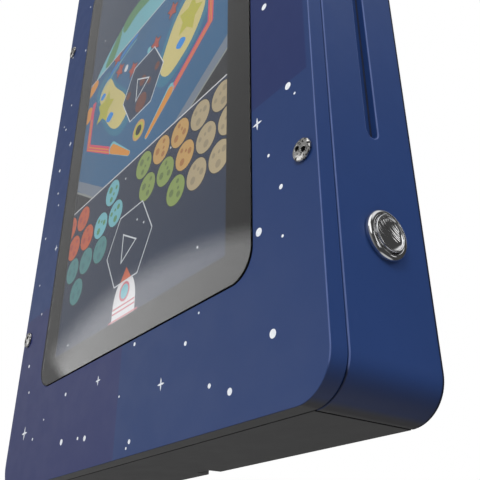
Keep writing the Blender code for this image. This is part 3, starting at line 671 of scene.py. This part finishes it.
def make_side_panels(material, edge_material):
    """A wall with a long groove, a hole for the button's barrel and pockets for the posts."""
    groove_depth, groove_radius, groove_reach = 6 * MM, 5.5 * MM, 169.5 * MM
    barrel_hole = 14.1 * MM
    groove = [
        *arc(BUTTON_Y, groove_reach, groove_radius, 0, 180, 12),
        *arc(BUTTON_Y, -groove_reach, groove_radius, 180, 360, 12),
    ]
    for side, sign in SIDES.items():
        low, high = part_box(f"side_panel_{side}")
        panel = prism(f"side_wall_{side}", side_outline(sign), low.y + SEAM, high.y, "Y", material)
        face = sign * WIDTH / 2
        tools = [
            prism("groove", groove, face - sign * groove_depth, face + sign * MM, "X", None),
            drill((face, BUTTON_Y, BUTTON_Z), (1, 0, 0), barrel_hole, 4 * WALL, 48),
        ]
        for end in ENDS:
            low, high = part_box(f"post_{end}_{side}")
            reach = max(abs(low.x), abs(high.x)) + FIT
            first, last = sorted((sign * (WIDTH / 2 - WALL - MM), sign * reach))
            bottom, top = low.z - FIT, high.z + FIT
            outline = [(first, bottom), (last, bottom), (last, top), (first, top)]
            tools.append(prism("pocket", outline, low.y - MM, high.y + FIT, "Y", None))
        cut(panel, *tools)
        # The rounded edges take the edge paint, with its painted highlight and shade.
        panel.data.materials.append(edge_material)
        soften(panel, SIDE_EDGE, material=len(panel.data.materials) - 1)
        settle(panel, stands_for=[f"side_panel_{side}"])


def flat_outline(sign):
    """A flat panel, thinner at both ends where it lies on the side panels' tongues."""
    outer, lap, inner = HEIGHT / 2, HEIGHT / 2 - LAP_DEPTH, HEIGHT / 2 - WALL
    edge = WIDTH / 2 - CORNER - 3 * FIT
    step = edge - LAP
    half = [(edge, outer), (edge, lap), (step, lap), (step, inner)]
    outline = half + [(-x, z) for x, z in reversed(half)]
    return [(x, sign * z) for x, z in outline]


def make_end_panels(material):
    """The flat top and bottom. The bottom one has a notch for the mains cord at the wall."""
    for name, sign in (("top", 1), ("bottom", -1)):
        low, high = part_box(f"{name}_panel")
        panel = prism(f"{name}_plate", flat_outline(sign), low.y + SEAM, high.y, "Y", material)
        if name == "bottom":
            half, depth, radius = 8 * MM, 12 * MM, 3 * MM
            notch = [
                (half, depth),
                *arc(half - radius, radius - depth, radius, 0, -90, 8),
                *arc(radius - half, radius - depth, radius, -90, -180, 8),
                (-half, depth),
            ]
            cut(panel, prism("notch", notch, low.z - MM, high.z + MM, "Z", None))
        soften(panel, 0.3 * MM)
        settle(panel, stands_for=[f"{name}_panel"])


# ---------------------------------------- stars on the cover

STAR_FRONT = FRONT - 0.06 * MM
STAR_BACK = FRONT + 0.02 * MM

# Four-pointed stars: (x, z, reach), all in millimetres.
SPARKLES = (
    (-186, -300, 6.5), (-37, -283, 4.2), (62, -308, 4.6), (-173, -108, 4), (170, -154, 5.2),
    (-176, 30, 4), (178, 96, 5), (-60, 302, 5), (96, 286, 4.5), (186, 308, 6),
)

INK_SPREAD = 0.4  # how much wider the round stars print, in millimetres

# Round stars: (x, z, diameter), all in millimetres.
DOTS = (
    (-96, -322, 4.6), (-51, -326, 4.0), (181, -306, 5.2), (170, -237, 5.4), (202, -143, 5.0),
    (180, -53, 5.0), (141, -330, 4.2), (-64, -324, 2.2), (-99, -281, 2.8), (20, -268, 2.6),
    (91, -287, 2.8), (120, -322, 2.8), (106, -270, 1.4), (23, -340, 3.0), (19, -344, 1.6),
    (192, -249, 1.6), (192, -215, 3.0), (181, -186, 2.0), (208, -153, 1.6), (-201, -231, 2.8),
    (-187, -179, 2.0), (-210, -81, 2.2), (-185, -49, 1.8), (-192, -30, 2.2), (-198, 64, 2.4),
    (-205, 72, 1.6), (-191, 97, 2.0), (-170, 171, 2.6), (-175, 251, 2.0), (-163, -309, 2.2),
    (-190, -260, 2.0), (2, -304, 1.4), (-142, -295, 1.4), (198, 10, 2.8), (184, 44, 2.6), (206, 78, 1.8),
    (176, 150, 2.2), (198, 176, 4.2), (185, 246, 1.8), (206, 272, 2.2), (-186, 278, 3.8),
    (-204, 310, 1.8), (-150, 296, 2.2), (-128, 328, 3.6), (-92, 286, 1.8), (-30, 282, 2.4),
    (-6, 326, 1.8), (34, 300, 4.0), (66, 332, 1.6), (128, 324, 2.4), (146, 284, 2.0), (-212, 190, 1.8),
    (-198, 4, 3.4), (-206, -140, 1.6),
)


def star_outline(reach, waist=0.16, steps=3):
    """A four-pointed star whose sides curve in between the points."""
    points = []
    for i in range(8 * steps):
        part = i % (2 * steps) / steps
        towards_waist = min(part, 2 - part)
        radius = reach * (1 - (1 - waist) * towards_waist**0.55)
        turn = math.pi / 4 * i / steps
        points.append((radius * math.cos(turn), radius * math.sin(turn)))
    return points


def flat_star(builder, outline):
    """One star of the printed film."""
    bridge(builder, [[(x, y, z) for x, z in outline] for y in (STAR_FRONT, STAR_BACK)])


def make_stars(material):
    """White stars printed on the cover, as a film that stands just proud of it."""
    builder = bmesh.new()
    for x, z, reach in SPARKLES:
        flat_star(builder, [(x * MM + u, z * MM + v) for u, v in star_outline(reach * MM)])
    for x, z, diameter in DOTS:
        flat_star(builder, disc(x * MM, z * MM, (diameter + INK_SPREAD) * MM / 2, 24))
    settle(mesh_object("star_film", builder, material))


# ---------------------------------------- glass and lit picture


def make_glass(glass, ink):
    """A clear plate with eased edges, and the dark band printed on its back."""
    width, height, corner = GLASS_HIGH.x - GLASS_LOW.x, GLASS_HIGH.z - GLASS_LOW.z, 21 * MM
    edge, back_edge = 0.6 * MM, 0.2 * MM
    back = GLASS_HIGH.y
    sections = [
        (width - 2 * back_edge, height - 2 * back_edge, corner - back_edge, back),
        (width, height, corner, back - back_edge),
        *rounding(width, height, corner, edge, GLASS_LOW.y),
    ]
    plate = plate_loft("glass_plate", sections, [glass, ink])
    for face in plate.data.polygons:
        face.material_index = 1 if abs(face.normal.y) < 0.3 else 0
    plate.visible_shadow = False
    settle(flatten(plate), stands_for=["touch_glass"])

    outside = (width - 3 * back_edge, height - 3 * back_edge, corner - back_edge)
    inside = (PICTURE_WIDTH, PICTURE_HEIGHT, 0.5 * MM)
    front, rear = back + 0.01 * MM, back + 0.03 * MM
    sections = [(*outside, front), (*outside, rear), (*inside, rear), (*inside, front)]
    settle(plate_loft("glass_border", sections, ink, closed=True))


PICTURE_WIDTH = 269 * MM
PICTURE_HEIGHT = 478 * MM
HALF_WIDTH = PICTURE_WIDTH / 2 / MM  # in millimetres, as all of the drawing is
HALF_HEIGHT = PICTURE_HEIGHT / 2 / MM
TABLE_X = -5  # middle of the drawn games, in millimetres
FILM = 0.025 * MM
FILM_PITCH = 0.03 * MM


def disc(x, z, radius, corners=32):
    """A disc, or with few corners a regular polygon."""
    return arc(x, z, radius, 0, 360 - 360 / corners, corners - 1)


def star(x, z, radius, inner=0.5, points=5, turn=90.0):
    outline = []
    for i in range(2 * points):
        reach = radius if i % 2 == 0 else radius * inner
        outline.append(spot(x, z, reach, turn + 180 * i / points))
    return outline


def blob(*stops, steps=6):
    """A smooth closed outline through the stops."""
    stops = [Vector(stop) for stop in stops]
    count = len(stops)
    outline = []
    for i in range(count):
        before, start, end, after = (stops[(i + k) % count] for k in (-1, 0, 1, 2))
        for step in range(steps):
            t = step / steps
            point = 0.5 * (
                2 * start
                + (end - before) * t
                + (2 * before - 5 * start + 4 * end - after) * t**2
                + (3 * start - before - 3 * end + after) * t**3
            )
            outline.append(tuple(point))
    return outline


def ribbon(points, width):
    """A band of even width along a line of points."""
    points = [Vector(point) for point in points]
    offsets = []
    for i, point in enumerate(points):
        before = (point - points[i - 1]).normalized() if i else (points[1] - point).normalized()
        after = (points[i + 1] - point).normalized() if i + 1 < len(points) else before
        across = Vector((-(before + after).y, (before + after).x)).normalized()
        offsets.append(across * width / 2 / max(0.5, abs(across.dot(Vector((-after.y, after.x))))))
    left = [tuple(point + offset) for point, offset in zip(points, offsets)]
    right = [tuple(point - offset) for point, offset in zip(points, offsets)]
    return left + right[::-1]


def paddle(start, start_radius, end, end_radius, steps=10):
    """A tapering bar with round ends."""
    reach = Vector(end) - Vector(start)
    turn = math.degrees(math.atan2(reach.y, reach.x))
    return [
        *arc(*start, start_radius, turn + 90, turn + 270, steps),
        *arc(*end, end_radius, turn - 90, turn + 90, steps),
    ]


def clipped(outline, low, high):
    """The part of an outline inside the rectangle between two corners."""
    for axis in (0, 1):
        for limit, sign in ((low[axis], 1), (high[axis], -1)):
            kept = []
            for start, end in in_pairs(outline, closed=True):
                start_in = sign * (start[axis] - limit) >= 0
                end_in = sign * (end[axis] - limit) >= 0
                if start_in:
                    kept.append(start)
                if start_in != end_in:
                    t = (limit - start[axis]) / (end[axis] - start[axis])
                    kept.append(tuple(a + (b - a) * t for a, b in zip(start, end)))
            outline = kept
    return outline


class Tile:
    """One lit part of the picture: thin coloured films on each other. Its shapes are in millimetres."""

    def __init__(self, name, low_z, high_z, lights):
        self.name = name
        self.low = (-HALF_WIDTH, low_z)
        self.high = (HALF_WIDTH, high_z)
        self.lights = lights
        self.colours = []
        self.builder = bmesh.new()

    def paint(self, colour, layer, rings):
        """Joins rings at the layer's front and back, and gives the new faces their colour."""
        if colour not in self.colours:
            self.colours.append(colour)
        known = len(self.builder.faces)
        back = LCD_FRONT - layer * FILM_PITCH
        depths = {"front": back - FILM, "back": back}
        loops = [[(x * MM, depths[depth], z * MM) for x, z in ring] for ring, depth in rings]
        bridge(self.builder, loops, closed=len(rings) > 2)
        self.builder.faces.ensure_lookup_table()
        for face in self.builder.faces[known:]:
            face.material_index = self.colours.index(colour)

    def fill(self, colour, layer, outline):
        outline = clipped(outline, self.low, self.high)
        if len(outline) > 2:
            self.paint(colour, layer, [(outline, "front"), (outline, "back")])

    def ring(self, colour, layer, outside, inside):
        rings = [(outside, "front"), (outside, "back"), (inside, "back"), (inside, "front")]
        self.paint(colour, layer, rings)

    def ground(self, colour):
        (x0, z0), (x1, z1) = self.low, self.high
        self.fill(colour, 0, [(x0, z0), (x1, z0), (x1, z1), (x0, z1)])

    def play_sign(self, z, layer):
        """A hexagon drawn in thin lines round a play triangle."""
        reach, line = 39.4, 1.3
        self.ring("line", layer, disc(TABLE_X, z, reach, 6), disc(TABLE_X, z, reach - line, 6))
        x, reach = TABLE_X - 3, 17
        self.ring("line", layer, disc(x, z, reach, 3), disc(x, z, reach - 2 * line, 3))

    def done(self):
        materials = [self.lights[colour] for colour in self.colours]
        settle(mesh_object(self.name, self.builder, materials))


# Runs of drawn balls: (x of the first, row from the top, colours), in millimetres.
BALL_RUNS = (
    (-138, 0, ("red", "red")),
    (-47, 0, ("cyan",)),
    (11, 0, ("green", "amber", "amber", "tan", "tan")),
    (-124, 1, ("red", "red", "cyan", "cyan")),
    (20, 1, ("green", "green", "amber", "tan", "tan")),
    (-120, 2, ("teal", "teal", "teal")),
    (67, 2, ("green", "tan", "tan")),
    (-105, 3, ("teal",)),
)
BALL_MARKS = {
    "red": "crimson", "cyan": "leaf", "green": "moss", "amber": "rust", "tan": "khaki", "teal": "deep_teal",
}


def draw_balls_game(lights):
    """The lower game: rows of plain balls under a play sign, and a small rocket that shoots them."""
    tile = Tile("picture_lower", -HALF_HEIGHT, -85.2, lights)
    fill = tile.fill
    tile.ground("space")
    pitch, row_pitch, first_row_z, radius = 29.2, 27, -101, 13.9
    for first_x, row, colours in BALL_RUNS:
        for i, colour in enumerate(colours):
            x, z = first_x + i * pitch, first_row_z - row * row_pitch
            fill("shadow", 1, disc(x, z, radius))
            fill(colour, 2, disc(x, z, radius - 0.7))
            mark = BALL_MARKS[colour]
            for turn, reach, size in ((130, 6, 3.4), (20, 8, 2.2), (260, 7, 2.8), (320, 4, 1.6)):
                fill(mark, 3, disc(*spot(x, z, reach, turn + 40 * i + 25 * row), size, 14))
    for x, z in ((-22, -98), (7, -154), (19, -162), (101, -219), (-108, -234), (56, -108)):
        fill("line", 1, disc(x, z, 1.1, 12))
    base, hull, port, shoulder = -HALF_HEIGHT, -229, -216, -207  # heights on the rocket
    fill("red", 1, [(TABLE_X - 10, shoulder), (TABLE_X + 10, shoulder), (TABLE_X, shoulder + 13)])
    right, left = (arc(TABLE_X, hull, 19, start, start + 50, 6, squash=1.5) for start in (0, 130))
    top = [(TABLE_X + 9, shoulder), (TABLE_X - 9, shoulder)]
    body = [(TABLE_X - 19, base), (TABLE_X + 19, base), *right, *top, *left]
    fill("white", 2, body)
    fill("pink", 3, disc(TABLE_X, port, 8.6))
    fill("cyan", 4, disc(TABLE_X, port, 6.4))
    for z, half in ((-227.5, 18.3), (-231.5, 18.6), (-237.8, 24)):
        fill("pink", 3, ribbon([(TABLE_X - half, z), (TABLE_X + half, z)], 1.3))
    tile.play_sign(-172.8, 5)
    tile.done()


def draw_pinball(lights):
    """The middle game: a plain pinball table with rails, flippers and round islands."""
    tile = Tile("picture_middle", -83.8, 86.4, lights)
    fill = tile.fill
    tile.ground("sea")
    left_island = ((-104, 52), (-84, 64), (-66, 40), (-42, 14), (-33, -10), (-48, -22), (-68, -12), (-90, 18))
    right_island = ((84, 56), (54, 42), (34, 12), (29, -8), (42, -21), (60, -18), (84, -4), (101, 24))
    shallows = 1.28  # how much wider the light water is than its island
    for island in (left_island, right_island):
        core = sum((Vector(stop) for stop in island), Vector((0, 0))) / len(island)
        shore = [tuple(core + (Vector(stop) - core) * shallows) for stop in island]
        fill("sea_light", 1, blob(*shore))
        fill("sand", 2, blob(*island))
    for x, z, radius in ((-88, 26, 21), (76, 26, 21)):
        fill("yellow", 3, star(x, z, radius, 0.55, turn=70))
    for x, z, radius in ((-73, 5, 8), (63, 3, 8), (-96, 47, 6)):
        above, below = (x, z + radius * 0.7), (x, z - radius * 0.8)
        fill("sky", 4, blob((x - radius, z), above, (x + radius, z - 1), below))
    for x, z in ((-60, 59), (-29, 38), (16, 38), (45, 59), (-69, 83)):
        fill("shadow", 3, star(x, z, 11.2, 0.52))
        fill("crimson", 4, star(x, z, 9.8, 0.52))
    for sign in SIDES.values():

        def across(x, z):
            return TABLE_X + sign * x, z

        rail = [across(112, 52), across(115, 40), across(114.5, -8), across(58, -43.5)]
        fill("coral", 3, ribbon(rail, 8))
        fill("orange", 4, ribbon([across(114.5, 30), across(113.5, -8), across(62, -40)], 1.2))
        fill("orange", 4, ribbon([across(116.5, 30), across(116, -10), across(60, -44.5)], 1.2))
        start, end = across(54.5, -42), across(16.5, -70)
        fill("cyan", 3, paddle(start, 6.8, end, 3.0))
        fill("orange", 4, paddle(across(53.5, -44), 5.4, end, 2.4))
        edge = sign * HALF_WIDTH
        inner = TABLE_X + sign * 88
        fill("grey", 1, [(edge, -43), (inner - sign * 24, -84), (inner, -84), (edge, -55)])
        fill("ash", 2, [(edge, -56), (inner - sign * 2, -84), (inner + sign * 2, -84), (edge, -59)])
        fill("shadow", 1, [(edge, -59), (inner + sign * 2, -84), (edge, -84)])
    fill("amber", 2, disc(TABLE_X, -53, 11))
    fill("yellow", 3, disc(TABLE_X, -53, 8.4))
    fill("shadow", 4, disc(TABLE_X, -53, 5.4))
    lane = arc(TABLE_X, 20, 118, 150, 100, 10, squash=0.55)
    fill("sky", 1, ribbon(lane, 3))
    fill("cyan", 2, ribbon([(x - 1, z - 6) for x, z in lane], 1.6))
    fill("orange", 2, blob((-134, 84), (-118, 86), (-116, 76), (-134, 70)))
    fill("orange", 2, blob((-134, 52), (-124, 50), (-120, 36), (-134, 32)))
    fill("white", 3, disc(-45, 51, 4.2, 16))
    fill("cyan", 3, disc(3, 40, 3.6, 16))
    sign_z = 1.8
    fill("night", 5, disc(TABLE_X, sign_z, 38.6, 6))
    for x, z, radius in ((0, -22, 10.5), (0, 5, 6), (-28, 4, 4.5), (27, 4, 4.5), (13, -4, 3.5)):
        fill("brown", 6, disc(TABLE_X + x, sign_z + z, radius))
    tile.play_sign(sign_z, 7)
    tile.done()


def draw_planet(lights):
    """The upper tile: a green and blue planet rising over its lower border."""
    tile = Tile("picture_upper", 87.6, HALF_HEIGHT, lights)
    fill = tile.fill
    tile.ground("night")
    fill("cyan", 1, disc(TABLE_X, -27, 163, 96))
    west = (-100, 92), (-84, 112), (-66, 124), (-70, 104), (-82, 88)
    north = (-40, 134), (10, 136), (30, 126), (4, 116), (-30, 118), (-58, 112), (-62, 126)
    east = (62, 120), (92, 104), (100, 88), (70, 92), (48, 106)
    for land in (west, north, east):
        fill("leaf", 2, blob(*land))
    stars = (-110, 140), (-70, 190), (-20, 215), (35, 170), (88, 205), (112, 150), (-118, 222), (60, 228)
    for x, z in stars:
        fill("line", 1, disc(x, z, 1, 12))
    tile.play_sign(176, 3)
    tile.done()


def draw_dividers(lights):
    """The two white lines between the tiles."""
    tile = Tile("picture_dividers", -HALF_HEIGHT, HALF_HEIGHT, lights)
    fill = tile.fill
    for low, high in ((-85.15, -83.85), (86.45, 87.55)):
        outline = [(-HALF_WIDTH, low), (HALF_WIDTH, low), (HALF_WIDTH, high), (-HALF_WIDTH, high)]
        fill("white", 0, outline)
    tile.done()


# ---------------------------------------- screws and buttons


def make_cover_screws(material, shadow):
    """Low-headed security screws, with two round driving holes in each head, near black inside as painted
    shade.
    """
    radius, height = 7.8 * MM, 2.8 * MM
    shank, shank_end = 2.4 * MM, -30 * MM
    hole_turns = {"lower_left": 35, "lower_right": 150, "upper_left": 80, "upper_right": 120}
    crown = (0, 0), (2, 0.02), (4, 0.12), (5.4, 0.28), (6.4, 0.48), (7, 0.68)
    brim = (7.4, 0.92), (7.7, 1.3), (7.8, 1.7)
    under = (radius, 0.35 * MM), (radius - 0.2 * MM, 0.1 * MM), (shank, 0.1 * MM)
    tip = (shank, shank_end + MM), (shank - 0.8 * MM, shank_end), (0, shank_end)
    profile = [*[(reach * MM, height - drop * MM) for reach, drop in crown + brim], *under, *tip]
    for name in HANDS:
        seat = middle(f"cover_screw_{name}", FRONT)
        screw = along(turned(f"cover_screw_head_{name}", profile, 64, material), seat, (0, -1, 0))
        turn = math.radians(hole_turns[name])
        across = Vector((math.cos(turn), 0, math.sin(turn))) * 3.1 * MM
        top = seat - Vector((0, height, 0))
        # The holes' walls take the near-black material: painted shade in the holes.
        holes = [drill(top + way, (0, 1, 0), 1.9 * MM, 5 * MM, 24, shadow) for way in (across, -across)]
        cut(screw, *holes)
        settle(screw, stands_for=[f"cover_screw_{name}"])


def make_buttons(material, cap_material):
    """A rounded chrome ring, and the dished cap with a raised rim that slides in it."""
    rounded = arc(13.7, 3.1, 1.2, 180, 90, 8) + arc(13.9, 1.6, 2.6, 90, 0, 12, squash=1.038)
    barrel = (16.5, 0.5), (16.3, 0.3), (13.8, 0.3), (13.8, -30), (4.4, -30), (4.4, -27), (12.5, -27)
    dish = [(i, 3 + 0.011 * i**2) for i in range(11)]
    rim = (10.5, 4.4), (10.85, 4.9), *arc(11.55, 5.2, 0.6, 170, 0, 8), (12.2, 4.9), (12.2, -6)
    clip = (5.5, -30.3), (5.5, -31.6)
    stem = (4, -6), (4, -30.3), *clip, (4, -31.6), (4, -33), (0, -33)
    ring_profile, cap_profile = (
        [(radius * MM, height * MM) for radius, height in points]
        for points in ([*rounded, *barrel], [*dish, *rim, *stem])
    )
    for side, sign in SIDES.items():
        centre, axis = (sign * WIDTH / 2, BUTTON_Y, BUTTON_Z), (sign, 0, 0)
        ring = turned(f"button_ring_{side}", ring_profile, 96, material, closed=True)
        settle(along(ring, centre, axis), stands_for=[f"button_bezel_{side}"])
        cap = turned(f"button_face_{side}", cap_profile, 96, cap_material)
        settle(along(cap, centre, axis), f"{side}_cap", [f"button_cap_{side}"])


def make_springs(material):
    """Coil springs with closed ends."""
    coil_radius, wire = 6.5 * MM, 0.5 * MM
    turns, per_turn, around = 7, 24, 8
    for side, sign in SIDES.items():
        low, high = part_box(f"button_spring_{side}")
        start, end = sorted((abs(low.x), abs(high.x)))
        rises = [0.15] * per_turn + [1.0] * (turns - 2) * per_turn + [0.15] * per_turn
        pitch = (end - start - 2 * wire) / sum(rises)
        height, rings = start + wire, []
        for i in range(turns * per_turn + 1):
            turn = 2 * math.pi * i / per_turn
            outward = Vector((0, math.cos(turn), math.sin(turn)))
            centre = Vector((sign * height, BUTTON_Y, BUTTON_Z)) + coil_radius * outward
            section = [2 * math.pi * j / around for j in range(around)]
            ring = [outward * math.cos(a) + Vector((math.sin(a), 0, 0)) for a in section]
            rings.append([centre + wire * point for point in ring])
            height += pitch * rises[min(i, len(rises) - 1)]
        builder = bmesh.new()
        bridge(builder, rings)
        spring = mesh_object(f"return_spring_{side}", builder, material)
        settle(spring, stands_for=[f"button_spring_{side}"])
        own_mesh(spring)


# ---------------------------------------- carried-over CAD nodes


def dress_inside():
    """Gives the CAD nodes that stay their materials."""
    zinc = zinc_sheet("zinc_sheet")
    steel = brushed_metal("bright_steel", (0.56, 0.57, 0.58), 0.28, (1, 12, 1))
    black = moulded_plastic("black_plastic", (0.02, 0.02, 0.021))
    looks = {
        "back_panel": back_coat(),
        "back_screw": steel,
        "connector_bay": zinc,
        "power_inlet": black,
        "glass_gasket": foam(),
        "lcd_panel": brushed_metal("display_frame", (0.42, 0.43, 0.44), 0.36, (14, 1, 1)),
        "lcd_strap": zinc,
        "strap_screw": steel,
        "post": zinc,
        "main_board": circuit(),
        "display_board": circuit(),
        "heat_sink": brushed_metal("fin_aluminium", (0.62, 0.63, 0.64), 0.32, (1, 1, 14)),
        "power_supply": zinc,
        "speaker_wire": moulded_plastic("grey_lead", (0.1, 0.1, 0.11), 0.45),
        "speaker": moulded_plastic("speaker_case", (0.026, 0.026, 0.028), 0.6),
        "mains_wire": moulded_plastic("mains_lead", (0.018, 0.018, 0.018), 0.42),
        "supply_wire": moulded_plastic("red_lead", (0.22, 0.018, 0.014), 0.42),
        "button_wire": moulded_plastic("blue_lead", (0.02, 0.045, 0.16), 0.42),
        "display_ribbon": moulded_plastic("ribbon", (0.3, 0.28, 0.22), 0.5),
        "button_nut": steel,
        "switch_holder": black,
        "switch_plunger": moulded_plastic("red_plunger", (0.32, 0.02, 0.016), 0.4),
        "microswitch": moulded_plastic("switch_case", (0.03, 0.03, 0.032), 0.45),
    }
    for name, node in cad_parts.items():
        for start, material in looks.items():
            if name.startswith(start):
                node.data.materials.clear()
                node.data.materials.append(material)
                break


# ---------------------------------------- stage, light and camera

FLOOR_Z = -1.05


def make_floor():
    finish = Finish("pale_floor", specular=0.2)
    colour = finish.tones(3, 3, (0.78, 0.78, 0.78), (0.82, 0.82, 0.82))
    reach = 4.0
    corners = [(reach, -reach), (reach, reach), (-reach, reach), (-reach, -reach)]
    paint = finish.done(colour, finish.drift(8, 3, 0.75, 0.85))
    floor = prism("floor", corners, FLOOR_Z - 0.02, FLOOR_Z, "Z", paint)
    floor.visible_glossy = False


def make_world():
    """White behind the object. The light is soft, with one round bright window to the front left."""
    world = bpy.data.worlds.new("studio")
    bpy.context.scene.world = world
    world.use_nodes = True
    world.node_tree.nodes.clear()
    nodes = Nodes(world.node_tree)
    direction = nodes.node("TexCoord").outputs["Generated"]

    def towards(way):
        return nodes.node("VectorMath", {0: direction, 1: way}, operation="DOT_PRODUCT").outputs["Value"]

    def patch(way, radius, strength, softness):
        """A round patch of light, with its radius and soft border in degrees."""
        outside, inside = (math.cos(math.radians(radius + k * softness / 2)) for k in (1, -1))
        return nodes.ramp(towards(way), outside, inside, high=strength)

    cut_off = nodes.ramp(towards(WINDOW_SIDE), -0.01, 0.01)
    window = nodes.math("MULTIPLY", patch(*WINDOW), cut_off)
    room = nodes.ramp(towards(WINDOW[0]), -0.2, 0.7, DARK_SIDE, BRIGHT_SIDE)
    boxes = nodes.math("MAXIMUM", *[patch(*values) for values in SOFTBOXES])
    light = nodes.math("ADD", room, window, boxes)
    soft = nodes.node("Background", {"Color": (1, 1, 1, 1), "Strength": light})
    white = nodes.node("Background", {"Color": (1, 1, 1, 1), "Strength": 1.0})
    seen = nodes.node("LightPath").outputs["Is Camera Ray"]
    mixed = nodes.node("MixShader", {0: seen, 1: soft.outputs[0], 2: white.outputs[0]})
    nodes.node("OutputWorld", {"Surface": mixed.outputs[0]})


# Each light round the machine: (direction, radius, strength, softness). The window lacks its part
# that faces away from WINDOW_SIDE. Where the others overlap, the brightest counts.
WINDOW = ((-0.743, -0.661, 0.103), 22.75, 0.95, 2.6)
WINDOW_SIDE = (0.451, -0.644, 0.618)
BRIGHT_SIDE = 0.31
DARK_SIDE = 0.06
SOFTBOXES = (
    ((0.15, -0.5, 0.85), 27, 1.15, 6),
    ((0.38, 0.25, 0.89), 21, 0.8, 14),
    ((-0.25, 0.75, 0.61), 18, 0.9, 6),
    ((0.66, 0.73, 0.17), 5, 1.3, 3),
    ((0.86, 0.4, 0.32), 5, 1.5, 3),
    ((0.62, -0.66, 0.42), 20, 1.2, 6),
    ((0.95, 0.28, 0.1), 8, 1.5, 5),
    ((0.97, 0.0, -0.22), 8, 1.5, 5),
    ((0.05, 0.35, -0.93), 30, 0.5, 16),
)


def make_lamp(name, place, size, power):
    """A round soft lamp that shines at the machine. Shiny surfaces don't show it."""
    lamp = bpy.data.lights.new(name, "AREA")
    lamp.shape = "DISK"
    lamp.size = size
    lamp.energy = power
    item = linked(name, lamp)
    item.location = place
    item.rotation_euler = (-Vector(place)).to_track_quat("-Z", "Y").to_euler()
    item.visible_glossy = False
    item.visible_transmission = False


def make_camera():
    """Level, below the machine to its right, looking up at it."""
    turn, rise = math.radians(52.69), math.radians(27.884)
    forward = Vector((-math.sin(turn) * math.cos(rise), math.cos(turn) * math.cos(rise), math.sin(rise)))
    data = bpy.data.cameras.new("camera")
    data.lens = 50
    data.sensor_width = 36
    data.clip_start = 0.01
    camera = linked("camera", data)
    camera.location = (0.44987, -0.31784, -0.4333)
    camera.rotation_euler = forward.to_track_quat("-Z", "Y").to_euler()
    bpy.context.scene.camera = camera


make_camera()
make_world()
make_lamp("key_lamp", (1.35, -1.75, 1.18), 0.6, 24)
make_lamp("side_lamp", (2.1, 0.62, 1.15), 1.6, 21)
make_floor()
bpy.context.scene.view_settings.view_transform = "Standard"

EDGE_HIGHLIGHT_PAINT = edge_highlight_paint()
make_front_cover(cover_print(), EDGE_HIGHLIGHT_PAINT)
make_side_panels(casing_paint(), EDGE_HIGHLIGHT_PAINT)
make_end_panels(charcoal_coat())
make_stars(star_ink())
make_glass(clear_glass(), glass_ink())
LIGHTS = {name: screen_light(f"screen_{name}", colour) for name, colour in SCREEN_COLOURS.items()}
draw_balls_game(LIGHTS)
draw_pinball(LIGHTS)
draw_planet(LIGHTS)
draw_dividers(LIGHTS)
make_cover_screws(worn_chrome(), moulded_plastic("screw_hole_shade", (0.01, 0.01, 0.01), 0.6))
make_buttons(chrome(), drawn_chrome())
make_springs(brushed_metal("spring_steel", (0.5, 0.5, 0.5), 0.25, (1, 6, 6)))
dress_inside()
